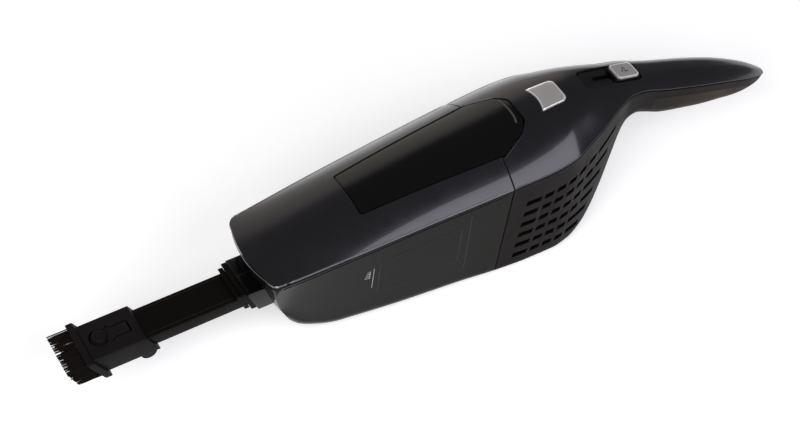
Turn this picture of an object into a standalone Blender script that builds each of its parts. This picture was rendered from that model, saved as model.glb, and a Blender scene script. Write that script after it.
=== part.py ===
# Handheld vacuum cleaner with a crevice tool and a sliding dusting brush.
# Frame: the nose points along -X and the handle along +X, +Z is up, Y = 0 is the symmetry plane.
# The origin lies on the flat belly, under the joint between the dust unit and the motor unit.
# Lengths below are in millimetres; the mesh helpers turn them into metres.
import math

import bmesh
import bpy
from mathutils import Matrix, Vector

MM = 0.001
GAP = 0.3
WALL = 2.2
SEAM_LIFT = 0.12

# Body outline along X: each list holds (x, value).
RIDGE_Z = [(-205, 93.3), (-180, 95.2), (-128, 100), (-65, 105), (-10, 108.5), (33, 110.7), (54, 112.5),
           (73, 115.2), (91, 118), (108, 120.1), (124, 120.3), (137, 117.8), (159, 108.5), (195, 95),
           (226, 83), (262, 66), (274, 59.5)]
RIDGE_Y = [(-205, 38.4), (-180, 40.2), (-128, 43.7), (-65, 47.3), (-10, 50.5), (33, 52.3), (54, 50.6),
           (73, 43.8), (91, 36.6), (108, 28.2), (127, 20.9), (150, 18.9), (195, 17.6), (226, 15.4),
           (255, 11), (268, 6.8), (274, 3.6)]
CROWN_Z = [(-205, 96.5), (-165, 107.5), (-114, 118), (-55, 126), (0, 131), (30, 134.3), (58, 136.8),
           (80, 137), (98, 135), (120, 130), (142, 123.5), (165, 115.5), (195, 104.5), (226, 91.5),
           (255, 76), (268, 67), (274, 62)]
BELLY_Z = [(-180, 27), (-167, 11), (-155, 5), (-145, 1.5), (-135, 0), (66, 0), (77, 3), (88, 13),
           (100, 33), (110.5, 58), (119.5, 78), (127, 85.5), (134, 86.5), (146, 81.5), (160, 74),
           (187, 66), (218, 58), (250, 52), (264, 53), (274, 57)]
BELLY_Y = [(-205, 20), (-142, 26.6), (-85, 32.8), (-34, 36.4), (0, 39.6), (25, 41.3), (48, 41.5),
           (62, 39), (78, 34.5), (95, 28), (110, 22.5), (124, 18.5), (150, 16.5), (195, 15.5),
           (226, 13), (255, 9), (268, 5.4), (274, 2.6)]
CORNER_R = [(-205, 20), (-142, 18), (-85, 15), (-34, 12), (0, 10), (60, 10), (80, 14), (124, 14),
            (150, 14.5), (226, 12), (255, 8), (274, 2)]
CROWN_POWER = [(-205, 2.4), (0, 2.25), (100, 2.3), (150, 2.7), (274, 2.7)]
TAIL_X = 274.0

# Nose of the dust unit, seen from above, and the lean of its front face.
NOSE_X = -200.6
NOSE_BOW = 6.5
NOSE_CORNER_Y = 40.5
FACE_X = [(0, -165), (20, -174), (55, -189.2), (76, -196), (92, -199)]
COVER_LIP = 1.0

# The joint between the units leans: its top is over the origin.
JOINT_TOP_Z = 108.0
JOINT_LEAN = 0.05
JOINT_OVERRUN = 9.0

# Window in the cover: it runs back over the joint as a tongue.
WINDOW_FRONT_X = -114.5
WINDOW_FRONT_Y = 22.0
WINDOW_JOINT_Y = 30.5
WINDOW_REAR_X = 31.5
WINDOW_REAR_Y = 18.5

# Nozzle port, tool and brush.
PORT_X = -207.3
PORT_Y = 19.8
PORT_Z = (54.6, 75.0)
PORT_LEAN = 0.39
DUCT_END_X = -176.0
TUBE_Y = 14.8
TUBE_Z = (58.6, 69.3)
TUBE_TIP_X = -331.0
TUBE_END_X = -184.0
TUBE_WALL = 1.6
COLLAR_Y = 18.0
COLLAR_Z = (56.0, 75.6)
BRUSH_LEAN = 0.55
BRUSH_Y = 17.7
BRUSH_Z = (54.9, 73.2)
BRUSH_FRONT_X = -330.0
BRUSH_REAR_X = -287.6
FLANGE_Y = 21.5
FLANGE_Z = (53.0, 75.0)
FLANGE_THICK = 5.4
BRISTLE_LENGTH = 17.5
FOOT_CENTRE = (-286.0, 53.0)
FOOT_HALF = 15.0
FOOT_RADIUS = 6.5
LATCH_CENTRE_X = -316.5
LATCH_RADIUS = 7.8
LATCH_HALF = 5.8
LATCH_FLARE = 8.2
LATCH_ROOT_X = -293.0

# Filter, just in front of the joint.
FILTER_FRONT_X = -41.0
FILTER_REAR_X = -2.2
FILTER_INSET = 9.0
FILTER_FLANGE_INSET = 6.5
FILTER_WALL = 2.2
PLEAT_FOLDS = 11
PLEAT_X = (-37.0, -8.0)
PLEAT_HALF = 23.0
PLEAT_THICK = 1.2

# Motor unit.
MOTOR_Z = 53.0
FAN_RADIUS = 30.0
FAN_HOUSING_X = (4.4, 29.0)
FAN_HOUSING_RADIUS = 34.0
INTAKE_RADIUS = 24.0
CAN_X = (30.4, 76.5)
CAN_RADIUS = 18.3
RING_X = (55.0, 63.0)
RING_RADIUS = 21.8
CRADLE_X = (56.0, 62.0)
CELL_FRONT_X = 32.0
CELL_Y = 9.6
CELL_ROWS_Z = (88.0, 107.0)
CELL_RADIUS = 9.2
CELL_LENGTH = 65.0
BUTTON_X = (46.0, 69.8)
BUTTON_Y = 12.7
TRACK_X = (89.8, 142.2)
TRACK_Y = 10.6
TRACK_TOP_Z = 128.0
TRACK_TILT = math.radians(14.4)
VENT_ROWS = 6
VENT_PITCH_Z = 13.0
VENT_TOP_Z = 83.5
VENT_HEIGHT = 5.4
VENT_RISE = 17.0
LATCH_PIN = (80.0, 124.2)
LATCH_HALF_Y = 6.0
SPRING_X = 56.0
SPRING_Z = (118.9, 122.4)
SPRING_RADIUS = 3.0
SPRING_TURNS = 4
GRIP_X = (148, 254)
GRIP_DROP = 9.0
HANDLE_SCREWS = [(172, 70.0), (228, 55.6)]
BELLY_SCREWS = [(18, -24), (18, 24)]
SOCKET_AXIS = Vector((0.928, 0, -0.371))
SOCKET_POINT = Vector((104.6, 0, 43.4))
SOCKET_MOUTH = SOCKET_POINT + SOCKET_AXIS * 8
SOCKET_ROOT = SOCKET_POINT - SOCKET_AXIS * 18

COLOURS = {
    "violet_grey_gloss": ((0.035, 0.032, 0.038), 0.25, 0.45),
    "smoky_clear": ((0.022, 0.021, 0.018), 0.12, 0.0),
    "dark_window": ((0.008, 0.007, 0.006), 0.08, 0.0),
    "brown_black_matte": ((0.028, 0.022, 0.019), 0.5, 0.0),
    "soft_grip": ((0.035, 0.028, 0.024), 0.75, 0.0),
    "silver_satin": ((0.30, 0.27, 0.26), 0.35, 0.6),
    "black_gloss": ((0.004, 0.004, 0.005), 0.12, 0.0),
    "black_plastic": ((0.010, 0.008, 0.006), 0.45, 0.0),
    "bristle_black": ((0.006, 0.005, 0.005), 0.6, 0.0),
    "black_rubber": ((0.012, 0.012, 0.012), 0.8, 0.0),
    "filter_white": ((0.62, 0.62, 0.58), 0.9, 0.0),
    "screen_steel": ((0.45, 0.45, 0.46), 0.35, 0.9),
    "motor_steel": ((0.35, 0.35, 0.36), 0.3, 0.9),
    "fan_grey": ((0.18, 0.18, 0.19), 0.5, 0.0),
    "cell_green": ((0.02, 0.16, 0.12), 0.4, 0.0),
    "board_green": ((0.01, 0.10, 0.04), 0.5, 0.0),
    "foam_grey": ((0.08, 0.08, 0.09), 0.95, 0.0),
    "screw_zinc": ((0.30, 0.30, 0.31), 0.35, 0.9),
}


def clear_scene():
    for old in list(bpy.data.objects):
        bpy.data.objects.remove(old, do_unlink=True)


def collection(name):
    made = bpy.data.collections.new(name)
    bpy.context.scene.collection.children.link(made)
    return made


def paint(name):
    found = bpy.data.materials.get(name)
    if found:
        return found
    colour, roughness, metallic = COLOURS[name]
    made = bpy.data.materials.new(name)
    made.use_nodes = True
    shader = made.node_tree.nodes["Principled BSDF"]
    shader.inputs["Base Color"].default_value = (*colour, 1.0)
    shader.inputs["Roughness"].default_value = roughness
    shader.inputs["Metallic"].default_value = metallic
    return made


def smooth_value(points, x):
    """Monotone cubic through (x, value) points, flat beyond both ends."""
    if x <= points[0][0]:
        return points[0][1]
    if x >= points[-1][0]:
        return points[-1][1]
    spans = [(b[1] - a[1]) / (b[0] - a[0]) for a, b in zip(points, points[1:])]

    def slope(i):
        if i == 0:
            return spans[0]
        if i == len(points) - 1:
            return spans[-1]
        before, after = spans[i - 1], spans[i]
        return 2 * before * after / (before + after) if before * after > 0 else 0.0

    i = max(k for k in range(len(points) - 1) if points[k][0] <= x)
    width = points[i + 1][0] - points[i][0]
    t = (x - points[i][0]) / width
    rise = points[i + 1][1] - points[i][1]
    start, end = slope(i) * width, slope(i + 1) * width
    return points[i][1] + t * start + t * t * (3 * rise - 2 * start - end) + t ** 3 * (start + end - 2 * rise)


def new_mesh_object(name, bm, group):
    bmesh.ops.recalc_face_normals(bm, faces=bm.faces)
    mesh = bpy.data.meshes.new(name)
    bm.to_mesh(mesh)
    bm.free()
    made = bpy.data.objects.new(name, mesh)
    group.objects.link(made)
    return made


def soften(part, angle=35):
    part.data.shade_smooth()
    part.data.set_sharp_from_angle(angle=math.radians(angle))


def finish(part, colour, pivot=None):
    """Give a sub-part its material, and hang it on its joint's empty."""
    part.data.materials.clear()
    part.data.materials.append(paint(colour))
    soften(part)
    if pivot:
        part.parent = pivot
        part.matrix_parent_inverse = Matrix.Translation(-pivot.location)
    return part


def pivot_empty(name, x, y, z):
    made = bpy.data.objects.new(name, None)
    PARTS.objects.link(made)
    made.location = (x * MM, y * MM, z * MM)
    made.empty_display_size = 0.01
    return made


def half_section(x, inset):
    """Half outline of the body at x, from the belly's middle round to the crown's, as (y, z)."""
    ridge_y = smooth_value(RIDGE_Y, x) - inset
    ridge_z = smooth_value(RIDGE_Z, x)
    crown_z = smooth_value(CROWN_Z, x) - 1.1 * inset
    belly_z = max(smooth_value(BELLY_Z, x - inset), smooth_value(BELLY_Z, x + inset)) + inset
    belly_y = smooth_value(BELLY_Y, x) - inset
    power = smooth_value(CROWN_POWER, x)
    corner = min(smooth_value(CORNER_R, x) - 0.8 * inset, 0.92 * belly_y, 0.75 * (ridge_z - belly_z))
    corner = max(corner, 1.2)
    points = [(0.0, belly_z), (0.5 * (belly_y - corner), belly_z)]
    for k in range(4):
        turn = math.radians(30 * k)
        y = belly_y - corner + corner * math.sin(turn)
        points.append((y, belly_z + corner - corner * math.cos(turn)))
    low_z = belly_z + corner
    for t in (0.5, 1.0):
        points.append((belly_y + (ridge_y - belly_y) * t, low_z + (ridge_z - low_z) * t))
    for y_share in (0.86, 0.7, 0.53, 0.35, 0.17, 0.0):
        points.append((ridge_y * y_share, crown_z - (crown_z - ridge_z) * y_share ** power))
    return points


def loft(name, rings, group):
    """Closed solid through rings of the same number of points, each a list of (x, y, z) in mm."""
    bm = bmesh.new()
    loops = [[bm.verts.new(Vector(point) * MM) for point in ring] for ring in rings]
    for one, two in zip(loops, loops[1:]):
        for k in range(len(one)):
            j = (k + 1) % len(one)
            bm.faces.new((one[k], one[j], two[j], two[k]))
    bm.faces.new(loops[0])
    bm.faces.new(loops[-1])
    return new_mesh_object(name, bm, group)


def body_solid(name, stations, group):
    """Solid of the body's section; stations are (x, inset) pairs."""
    rings = []
    for x, inset in stations:
        half = half_section(x, inset)
        ring = [(x, y, z) for y, z in half]
        ring += [(x, -y, z) for y, z in reversed(half[1:-1])]
        rings.append(ring)
    return loft(name, rings, group)


def stations_between(start, end, inset, coarse=1.0):
    """Loft stations, closer together where the body turns into the handle."""
    found = [start]
    for low, high, pitch in ((-210, 0, 17), (0, 60, 14), (60, 138, 7.0), (138, 250, 14), (250, 275, 6)):
        count = int((high - low) / (pitch * coarse))
        for k in range(count):
            x = low + (high - low) * k / count
            if start + 2 < x < end - 2:
                found.append(x)
    found.append(end)
    return [(x, inset) for x in found]


def rounded_outline(corners, radius, steps=3):
    """Round each corner of a polygon: radius is one number or one for each corner."""
    count = len(corners)
    radii = radius if isinstance(radius, (list, tuple)) else [radius] * count
    outline = []
    for k, corner in enumerate(corners):
        here = Vector(corner)
        to_last = (Vector(corners[k - 1]) - here).normalized()
        to_next = (Vector(corners[(k + 1) % count]) - here).normalized()
        if radii[k] <= 0:
            outline.append(tuple(here))
            continue
        half_angle = to_last.angle(to_next) / 2
        reach = radii[k] / math.tan(half_angle)
        centre = here + (to_last + to_next).normalized() * (radii[k] / math.sin(half_angle))
        first = (here + to_last * reach - centre).normalized()
        last = (here + to_next * reach - centre).normalized()
        for s in range(steps + 1):
            outline.append(tuple(centre + radii[k] * first.slerp(last, s / steps)))
    return outline


def plate(name, outline, axis, low, high, group):
    """Flat outline extruded along X, Y or Z; its points are (y, z), (x, z) or (x, y)."""
    curve = bpy.data.curves.new(name, "CURVE")
    curve.dimensions = "2D"
    curve.fill_mode = "BOTH"
    curve.extrude = (high - low) / 2 * MM
    line = curve.splines.new("POLY")
    line.points.add(len(outline) - 1)
    for point, (u, v) in zip(line.points, outline):
        point.co = (u * MM, v * MM, 0, 1)
    line.use_cyclic_u = True
    flat = bpy.data.objects.new(name + "_outline", curve)
    group.objects.link(flat)
    bpy.context.view_layer.update()
    mesh = bpy.data.meshes.new_from_object(flat.evaluated_get(bpy.context.evaluated_depsgraph_get()))
    middle = (low + high) / 2 * MM
    turns = {
        "X": Matrix(((0, 0, 1, middle), (1, 0, 0, 0), (0, 1, 0, 0), (0, 0, 0, 1))),
        "Y": Matrix(((1, 0, 0, 0), (0, 0, -1, middle), (0, 1, 0, 0), (0, 0, 0, 1))),
        "Z": Matrix.Translation((0, 0, middle)),
    }
    bm = bmesh.new()
    bm.from_mesh(mesh)
    bmesh.ops.remove_doubles(bm, verts=bm.verts, dist=0.000001)
    bmesh.ops.transform(bm, matrix=turns[axis], verts=bm.verts)
    bpy.data.objects.remove(flat, do_unlink=True)
    return new_mesh_object(name, bm, group)


def box(name, low, high, group):
    bm = bmesh.new()
    bmesh.ops.create_cube(bm, size=1.0)
    size = [(b - a) * MM for a, b in zip(low, high)]
    middle = [(a + b) / 2 * MM for a, b in zip(low, high)]
    bmesh.ops.scale(bm, vec=size, verts=bm.verts)
    bmesh.ops.translate(bm, vec=middle, verts=bm.verts)
    return new_mesh_object(name, bm, group)


def rod(name, start, end, radius, group, sides=24, end_radius=None):
    """Cylinder, or cone, between two points."""
    a, b = Vector(start) * MM, Vector(end) * MM
    bm = bmesh.new()
    second = radius if end_radius is None else end_radius
    bmesh.ops.create_cone(bm, cap_ends=True, segments=sides, radius1=radius * MM, radius2=second * MM,
                          depth=(b - a).length)
    turn = (b - a).to_track_quat("Z", "Y").to_matrix().to_4x4()
    bmesh.ops.transform(bm, matrix=Matrix.Translation((a + b) / 2) @ turn, verts=bm.verts)
    return new_mesh_object(name, bm, group)


def turned(name, profile, z, group, steps=26):
    """Turned piece about the motor's axis; profile is (x, radius), closed when it leaves the axis."""
    mesh = bpy.data.meshes.new(name)
    open_ended = profile[0][1] == 0
    points = [(radius * MM, 0, -x * MM) for x, radius in profile]
    edges = [(k, k + 1) for k in range(len(points) - 1)]
    if not open_ended:
        edges.append((len(points) - 1, 0))
    mesh.from_pydata(points, edges, [])
    made = bpy.data.objects.new(name, mesh)
    group.objects.link(made)
    screw = made.modifiers.new("turn", "SCREW")
    screw.steps = steps
    screw.render_steps = steps
    screw.use_merge_vertices = True
    screw.merge_threshold = 0.00001
    screw.use_normal_calculate = True
    bpy.context.view_layer.update()
    solid = bpy.data.meshes.new_from_object(made.evaluated_get(bpy.context.evaluated_depsgraph_get()))
    bpy.data.objects.remove(made, do_unlink=True)
    bm = bmesh.new()
    bm.from_mesh(solid)
    bmesh.ops.remove_doubles(bm, verts=bm.verts, dist=0.000001)
    along_x = Matrix.Translation((0, 0, z * MM)) @ Matrix.Rotation(math.radians(-90), 4, "Y")
    bmesh.ops.transform(bm, matrix=along_x, verts=bm.verts)
    return new_mesh_object(name, bm, group)


def leaning_block(name, x_front, x_rear, half_y, z_range, radius, lean_front, lean_rear, group):
    """Rounded bar along X whose ends lean: each end's x is given at its top edge."""
    low, high = z_range
    corners = [(-half_y, low), (half_y, low), (half_y, high), (-half_y, high)]
    outline = rounded_outline(corners, radius, 2)
    rings = []
    for x, lean in ((x_front, lean_front), (x_rear, lean_rear)):
        rings.append([(x + lean * (high - z), y, z) for y, z in outline])
    return loft(name, rings, group)


def is_closed(mesh):
    """True when every edge joins exactly two faces."""
    bm = bmesh.new()
    bm.from_mesh(mesh)
    closed = all(len(edge.link_faces) == 2 for edge in bm.edges)
    bm.free()
    return closed


def boolean(part, other, operation="DIFFERENCE"):
    """Cut, join or intersect, apply it and remove the cutter; EXACT first, MANIFOLD where it fails."""
    step = part.modifiers.new(other.name, "BOOLEAN")
    step.object = other
    step.operation = operation
    for solver in ("EXACT", "MANIFOLD"):
        step.solver = solver
        bpy.context.view_layer.update()
        mesh = bpy.data.meshes.new_from_object(part.evaluated_get(bpy.context.evaluated_depsgraph_get()))
        if is_closed(mesh):
            break
    part.modifiers.clear()
    part.data = mesh
    bpy.data.objects.remove(other, do_unlink=True)
    return part


def bevelled(part, width, segments=1, angle=40):
    step = part.modifiers.new("edges", "BEVEL")
    step.width = width * MM
    step.segments = segments
    step.limit_method = "ANGLE"
    step.angle_limit = math.radians(angle)
    return part


def ridge_curve(start, end, drop, pitch=9.0):
    """Points (x, z) along the parting line, lowered by drop."""
    count = max(2, int((end - start) / pitch))
    xs = [start + (end - start) * k / count for k in range(count + 1)]
    return [(x, smooth_value(RIDGE_Z, x) - drop) for x in xs]


def joint_x(z, side):
    """Face of the leaning joint at a height: side is -1 for the dust unit and 1 for the motor unit."""
    return JOINT_LEAN * (z - JOINT_TOP_Z) + side * GAP


def ridge_region(unit, edge_z, drop):
    """Everything of one unit on one side of the parting line, as a cutter."""
    if unit == "dust":
        line = ridge_curve(-215, 0, drop)
        line[-1] = (joint_x(line[-1][1], -1), line[-1][1])
        far = [(joint_x(edge_z, -1), edge_z), (-215, edge_z)]
    else:
        line = ridge_curve(0, TAIL_X + 8, drop)
        line[0] = (joint_x(line[0][1], 1), line[0][1])
        far = [(TAIL_X + 8, edge_z), (joint_x(edge_z, 1), edge_z)]
    return plate("region", far + line, "Y", -70, 70, CUTTERS)


def above_ridge(unit, drop):
    return ridge_region(unit, 200, drop)


def below_ridge(unit, drop):
    return ridge_region(unit, -20, drop)


def nose_outline(inset, side_y):
    """Plan of the nose: a bowed front between two rounded corners."""
    front = NOSE_X + inset
    half = NOSE_CORNER_Y - inset
    corner_r = 12.0
    arc = []
    for k in range(-4, 5):
        y = (half - corner_r) * k / 4
        arc.append((front + NOSE_BOW * (y / 34.0) ** 2, y))
    edge_x = arc[0][0]
    left = [(edge_x + corner_r * (1 - math.sin(math.radians(a))), -(half - corner_r) - corner_r
             * math.cos(math.radians(a))) for a in (0, 22.5, 45, 67.5)]
    right = [(x, -y) for x, y in reversed(left)]
    near = [(60, -side_y), (left[0][0], -side_y)]
    return near + left + arc + right + [(right[-1][0], side_y), (60, side_y)]


def nose_plate(inset):
    return plate("nose_plan", nose_outline(inset, 70), "Z", 60, 160, CUTTERS)


def leaning_nose(inset):
    """The container's front face: the nose plan leaning back towards the belly."""
    outline = nose_outline(inset, 70)
    rings = []
    for z in (-20, 10, 20, 38, 55, 76, 92, 160):
        shift = smooth_value(FACE_X, z) - NOSE_X
        rings.append([(x + shift if x < 0 else x, y, z) for x, y in outline])
    return loft("nose_lean", rings, CUTTERS)


def window_outline(inset):
    front, rear = WINDOW_FRONT_X + inset, WINDOW_REAR_X - inset
    widths = ((front, WINDOW_FRONT_Y - inset), (4, WINDOW_JOINT_Y - inset), (24, WINDOW_REAR_Y + 3 - inset))
    side = [(x, -y) for x, y in widths]
    other = [(x, y) for x, y in reversed(widths)]
    rear_y = WINDOW_REAR_Y - 6 - inset
    corners = side + [(rear, -rear_y), (rear, rear_y)] + other
    return rounded_outline(corners, [3, 3, 6, 8, 8, 6, 3, 3], 2)


def crown_shell(name, start, end, outer, inner, group, nose=None):
    """Hollow stretch of the body; a nose function shapes its front and the hollow's front."""
    shell = body_solid(name, stations_between(start, end, outer), group)
    inner_end = end + 6 if end < TAIL_X else end - 9
    hollow = body_solid("hollow", stations_between(start - 6, inner_end, inner, 1.5), CUTTERS)
    if nose:
        boolean(shell, nose(0.0), "INTERSECT")
        boolean(hollow, nose(WALL), "INTERSECT")
    return boolean(shell, hollow)


def dust_container(pivot):
    tub = crown_shell("dust_container", -207, JOINT_OVERRUN, 0.0, WALL, PARTS, leaning_nose)
    boolean(tub, below_ridge("dust", GAP - SEAM_LIFT), "INTERSECT")
    low, high = PORT_Z
    reach = PORT_Y + GAP
    boolean(tub, box("port_hole", (-215, -reach, low - GAP), (-160, reach, high + 1.2), CUTTERS))
    return finish(tub, "smoky_clear", pivot)


def top_cover(pivot):
    cover = crown_shell("top_cover", -207, JOINT_OVERRUN, -0.5 * COVER_LIP, WALL, PARTS, nose_plate)
    boolean(cover, above_ridge("dust", -SEAM_LIFT), "INTERSECT")
    boolean(cover, plate("window_hole", window_outline(0.0), "Z", 60, 160, CUTTERS))
    return finish(cover, "violet_grey_gloss", pivot)


def window_panel(pivot):
    panel = crown_shell("window_panel", -125, 40, 0.2, WALL, PARTS)
    boolean(panel, plate("window_plan", window_outline(GAP), "Z", 90, 160, CUTTERS), "INTERSECT")
    catch = box("catch", (27.0, -5, 126.6), (29.6, 5, 132.6), CUTTERS)
    boolean(panel, catch, "UNION")
    return finish(panel, "dark_window", pivot)


def nozzle_port(pivot):
    port = leaning_block("nozzle_port", PORT_X, DUCT_END_X, PORT_Y, PORT_Z, 1.5, PORT_LEAN, 0, PARTS)
    low, high = PORT_Z
    pad = leaning_block("pad", PORT_X + 0.6, -193, 10.6, (high - 2, high + 0.9), 0.5, PORT_LEAN, 0, CUTTERS)
    pad.data.transform(Matrix.Translation((0, -9.0 * MM, 0)))
    boolean(port, pad, "UNION")
    bore_z = (TUBE_Z[0] - GAP, TUBE_Z[1] + GAP)
    bore = leaning_block("bore", -230, -150, TUBE_Y + GAP, bore_z, 1.2, 0, 0, CUTTERS)
    boolean(port, bore)
    return finish(port, "black_plastic", pivot)


def inlet_flap(pivot):
    low, high = PORT_Z
    front, rear = DUCT_END_X + GAP, DUCT_END_X + 1.7
    flap = box("inlet_flap", (front, -17.5, low + 1.0), (rear, 17.5, high - 2.2), PARTS)
    return finish(flap, "black_rubber", pivot)


def flap_hinge(pivot):
    z = PORT_Z[1]
    rail = box("flap_hinge_rail", (DUCT_END_X + GAP, -17.5, z - 1.3), (DUCT_END_X + 3.0, 17.5, z), PARTS)
    return finish(rail, "black_plastic", pivot)


def filter_frame(pivot):
    flange_x = FILTER_REAR_X - 3.0
    outer = [(FILTER_FRONT_X, FILTER_INSET), (-24, FILTER_INSET), (flange_x, FILTER_INSET),
             (flange_x + 0.2, FILTER_FLANGE_INSET), (FILTER_REAR_X, FILTER_FLANGE_INSET)]
    frame = body_solid("filter_frame", outer, PARTS)
    hollow_inset = FILTER_INSET + FILTER_WALL
    boolean(frame, body_solid("filter_hollow", [(-50, hollow_inset), (5, hollow_inset)], CUTTERS))
    return finish(frame, "fan_grey", pivot)


def filter_screen(pivot):
    inset = FILTER_INSET + FILTER_WALL + 0.4
    front = FILTER_FRONT_X + 0.6
    screen = body_solid("filter_screen", [(front, inset), (front + 0.8, inset)], PARTS)
    return finish(screen, "screen_steel", pivot)


def filter_pleats(pivot):
    """Accordion paper: one zigzag outline, seen from above, pulled up to the frame's height."""
    front, rear = PLEAT_X
    step = 2 * PLEAT_HALF / PLEAT_FOLDS
    line = []
    for k in range(PLEAT_FOLDS + 1):
        line.append((front if k % 2 else rear, -PLEAT_HALF + k * step))
    back = [(x + PLEAT_THICK * 2.4, y) for x, y in reversed(line)]
    pleats = plate("filter_pleats", line + back, "Z", 14.5, 109, PARTS)
    return finish(pleats, "filter_white", pivot)


def pull_tab(pivot):
    tab = plate("filter_pull_tab", rounded_outline([(-12, 55), (12, 55), (12, 70), (-12, 70)], 3), "X",
                -44.2, -42.0, PARTS)
    stem = box("tab_stem", (-42.5, -3, 59), (-40.7, 3, 65), CUTTERS)
    boolean(tab, stem, "UNION")
    return finish(tab, "fan_grey", pivot)


def rear_upper_shell():
    shell = crown_shell("rear_upper_shell", -JOINT_OVERRUN, TAIL_X, 0.0, WALL, PARTS)
    boolean(shell, above_ridge("motor", -SEAM_LIFT), "INTERSECT")
    boolean(shell, plate("tongue_notch", window_outline(0.0), "Z", 60, 160, CUTTERS))
    boolean(shell, plate("button_hole", button_outline(-0.4), "Z", 122, 160, CUTTERS))
    boolean(shell, plate("track_hole", track_outline(0.0), "Z", 118, 160, CUTTERS))
    for x, z in HANDLE_SCREWS:
        top = smooth_value(CROWN_Z, x) - WALL * 0.7
        boolean(shell, rod("post", (x, 0, z + 9.5), (x, 0, top), 3.6, CUTTERS, 16), "UNION")
        boolean(shell, rod("pilot", (x, 0, z + 8), (x, 0, z + 16), 1.5, CUTTERS, 12))
    return finish(shell, "violet_grey_gloss")


def vent_slots():
    """Six fanning rows of slots, cut straight through both side walls."""
    bm = bmesh.new()
    for row in range(VENT_ROWS):
        x, x_end = 13.2 - 0.95 * row, 107.0 - 6.8 * row
        rise = VENT_RISE * (1 - row / 5) ** 1.6

        def level(at):
            share = max(0.0, (at - 12) / 95)
            return VENT_TOP_Z - VENT_PITCH_Z * row + rise * share ** 2.2

        length = 13.0
        while x < x_end - 8:
            if x + length + 3.0 + 13.0 > x_end and length < 13:
                length = x_end - x
            half = VENT_HEIGHT / 2
            corners = [(x, -half), (x + length, -half), (x + length + 1, half), (x + 1, half)]
            for side in (-70, 10):
                lower = [bm.verts.new(Vector((u, side, level(u) + v)) * MM) for u, v in corners]
                upper = [bm.verts.new(Vector((u, side + 60, level(u) + v)) * MM) for u, v in corners]
                bm.faces.new(lower)
                bm.faces.new(upper)
                for k in range(4):
                    bm.faces.new((lower[k], lower[k - 1], upper[k - 1], upper[k]))
            x += length + 3.0
            length = 8.2
    return new_mesh_object("vents", bm, CUTTERS)


def lower_housing():
    housing = crown_shell("lower_housing", -JOINT_OVERRUN, TAIL_X, 0.0, WALL, PARTS)
    boolean(housing, below_ridge("motor", GAP - SEAM_LIFT), "INTERSECT")
    boolean(housing, vent_slots())
    boolean(housing, rod("jack_hole", SOCKET_MOUTH, SOCKET_ROOT, 5.3, CUTTERS))
    for x, z in HANDLE_SCREWS:
        boss = rod("boss", (x, 0, z - 2), (x, 0, z + 9.0), 4.6, CUTTERS, 16)
        boolean(boss, body_solid("inside", [(x - 8, 1.6), (x, 1.6), (x + 8, 1.6)], CUTTERS), "INTERSECT")
        boolean(housing, boss, "UNION")
        boolean(housing, rod("head_hole", (x, 0, z - 14), (x, 0, z + 3.0), 3.1, CUTTERS, 20))
        boolean(housing, rod("shank_hole", (x, 0, z), (x, 0, z + 12), 1.8, CUTTERS, 12))
    for x, y in BELLY_SCREWS:
        boolean(housing, rod("boss", (x, y, 1.0), (x, y, 8.0), 4.6, CUTTERS, 20), "UNION")
        boolean(housing, rod("head_hole", (x, y, -4), (x, y, 3.2), 3.1, CUTTERS, 20))
        boolean(housing, rod("shank_hole", (x, y, 1), (x, y, 12), 1.8, CUTTERS, 12))
    boolean(housing, grip_solid("grip_seat", 1.0 + GAP, 0.0))
    return finish(housing, "brown_black_matte")


def grip_solid(name, depth, inset):
    """Soft insert on the handle's underside, as deep as given, following the housing's skin."""
    group = CUTTERS if inset == 0 else PARTS
    outset = -0.8 if inset == 0 else 0.0
    skin = body_solid(name, stations_between(GRIP_X[0] - 10, GRIP_X[1] + 10, outset), group)
    boolean(skin, body_solid("grip_core", stations_between(GRIP_X[0] - 14, GRIP_X[1] + 14, depth), CUTTERS))
    line = [(x, z - GRIP_DROP) for x, z in ridge_curve(GRIP_X[0], GRIP_X[1], 0.0, 12)]
    low = [(GRIP_X[1] - inset, 20), (GRIP_X[0] + inset, 20)]
    line[0] = (GRIP_X[0] + inset, line[0][1] - 6)
    line[-1] = (GRIP_X[1] - inset, line[-1][1])
    region = [(x, z - inset) for x, z in line]
    return boolean(skin, plate("grip_region", low + region, "Y", -40, 40, CUTTERS), "INTERSECT")


def grip_panel():
    panel = grip_solid("grip_panel", 1.0, GAP)
    for x, z in HANDLE_SCREWS:
        boolean(panel, rod("head_hole", (x, 0, z - 14), (x, 0, z + 3.0), 3.1, CUTTERS, 20))
    return finish(panel, "soft_grip")


def charging_socket():
    face = SOCKET_POINT - SOCKET_AXIS * 0.9
    socket = rod("charging_socket", face, face - SOCKET_AXIS * 13, 5.0, PARTS, 24)
    boolean(socket, rod("jack_bore", SOCKET_MOUTH, face - SOCKET_AXIS * 9, 3.0, CUTTERS, 20))
    pin = rod("jack_pin", face - SOCKET_AXIS * 9.5, face - SOCKET_AXIS * 1.5, 0.9, CUTTERS, 10)
    boolean(socket, pin, "UNION")
    return finish(socket, "black_gloss")


def screw(name, x, y, z):
    piece = rod(name, (x, y, z + 0.8), (x, y, z + 2.7), 2.8, PARTS, 14)
    boolean(piece, rod("shank", (x, y, z + 2.4), (x, y, z + 13.5), 1.2, CUTTERS, 8), "UNION")
    boolean(piece, box("slot", (x - 1.7, y - 0.35, z + 0.2), (x + 1.7, y + 0.35, z + 1.7), CUTTERS))
    return finish(piece, "screw_zinc")


def bulkhead():
    wall = body_solid("bulkhead", [(1.2, 2.6), (4.0, 2.6)], PARTS)
    boolean(wall, rod("intake", (-5, 0, MOTOR_Z), (10, 0, MOTOR_Z), INTAKE_RADIUS, CUTTERS, 32))
    boolean(wall, box("catch_way", (-5, -7, 125.2), (10, 7, 140), CUTTERS))
    return finish(wall, "brown_black_matte")


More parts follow.
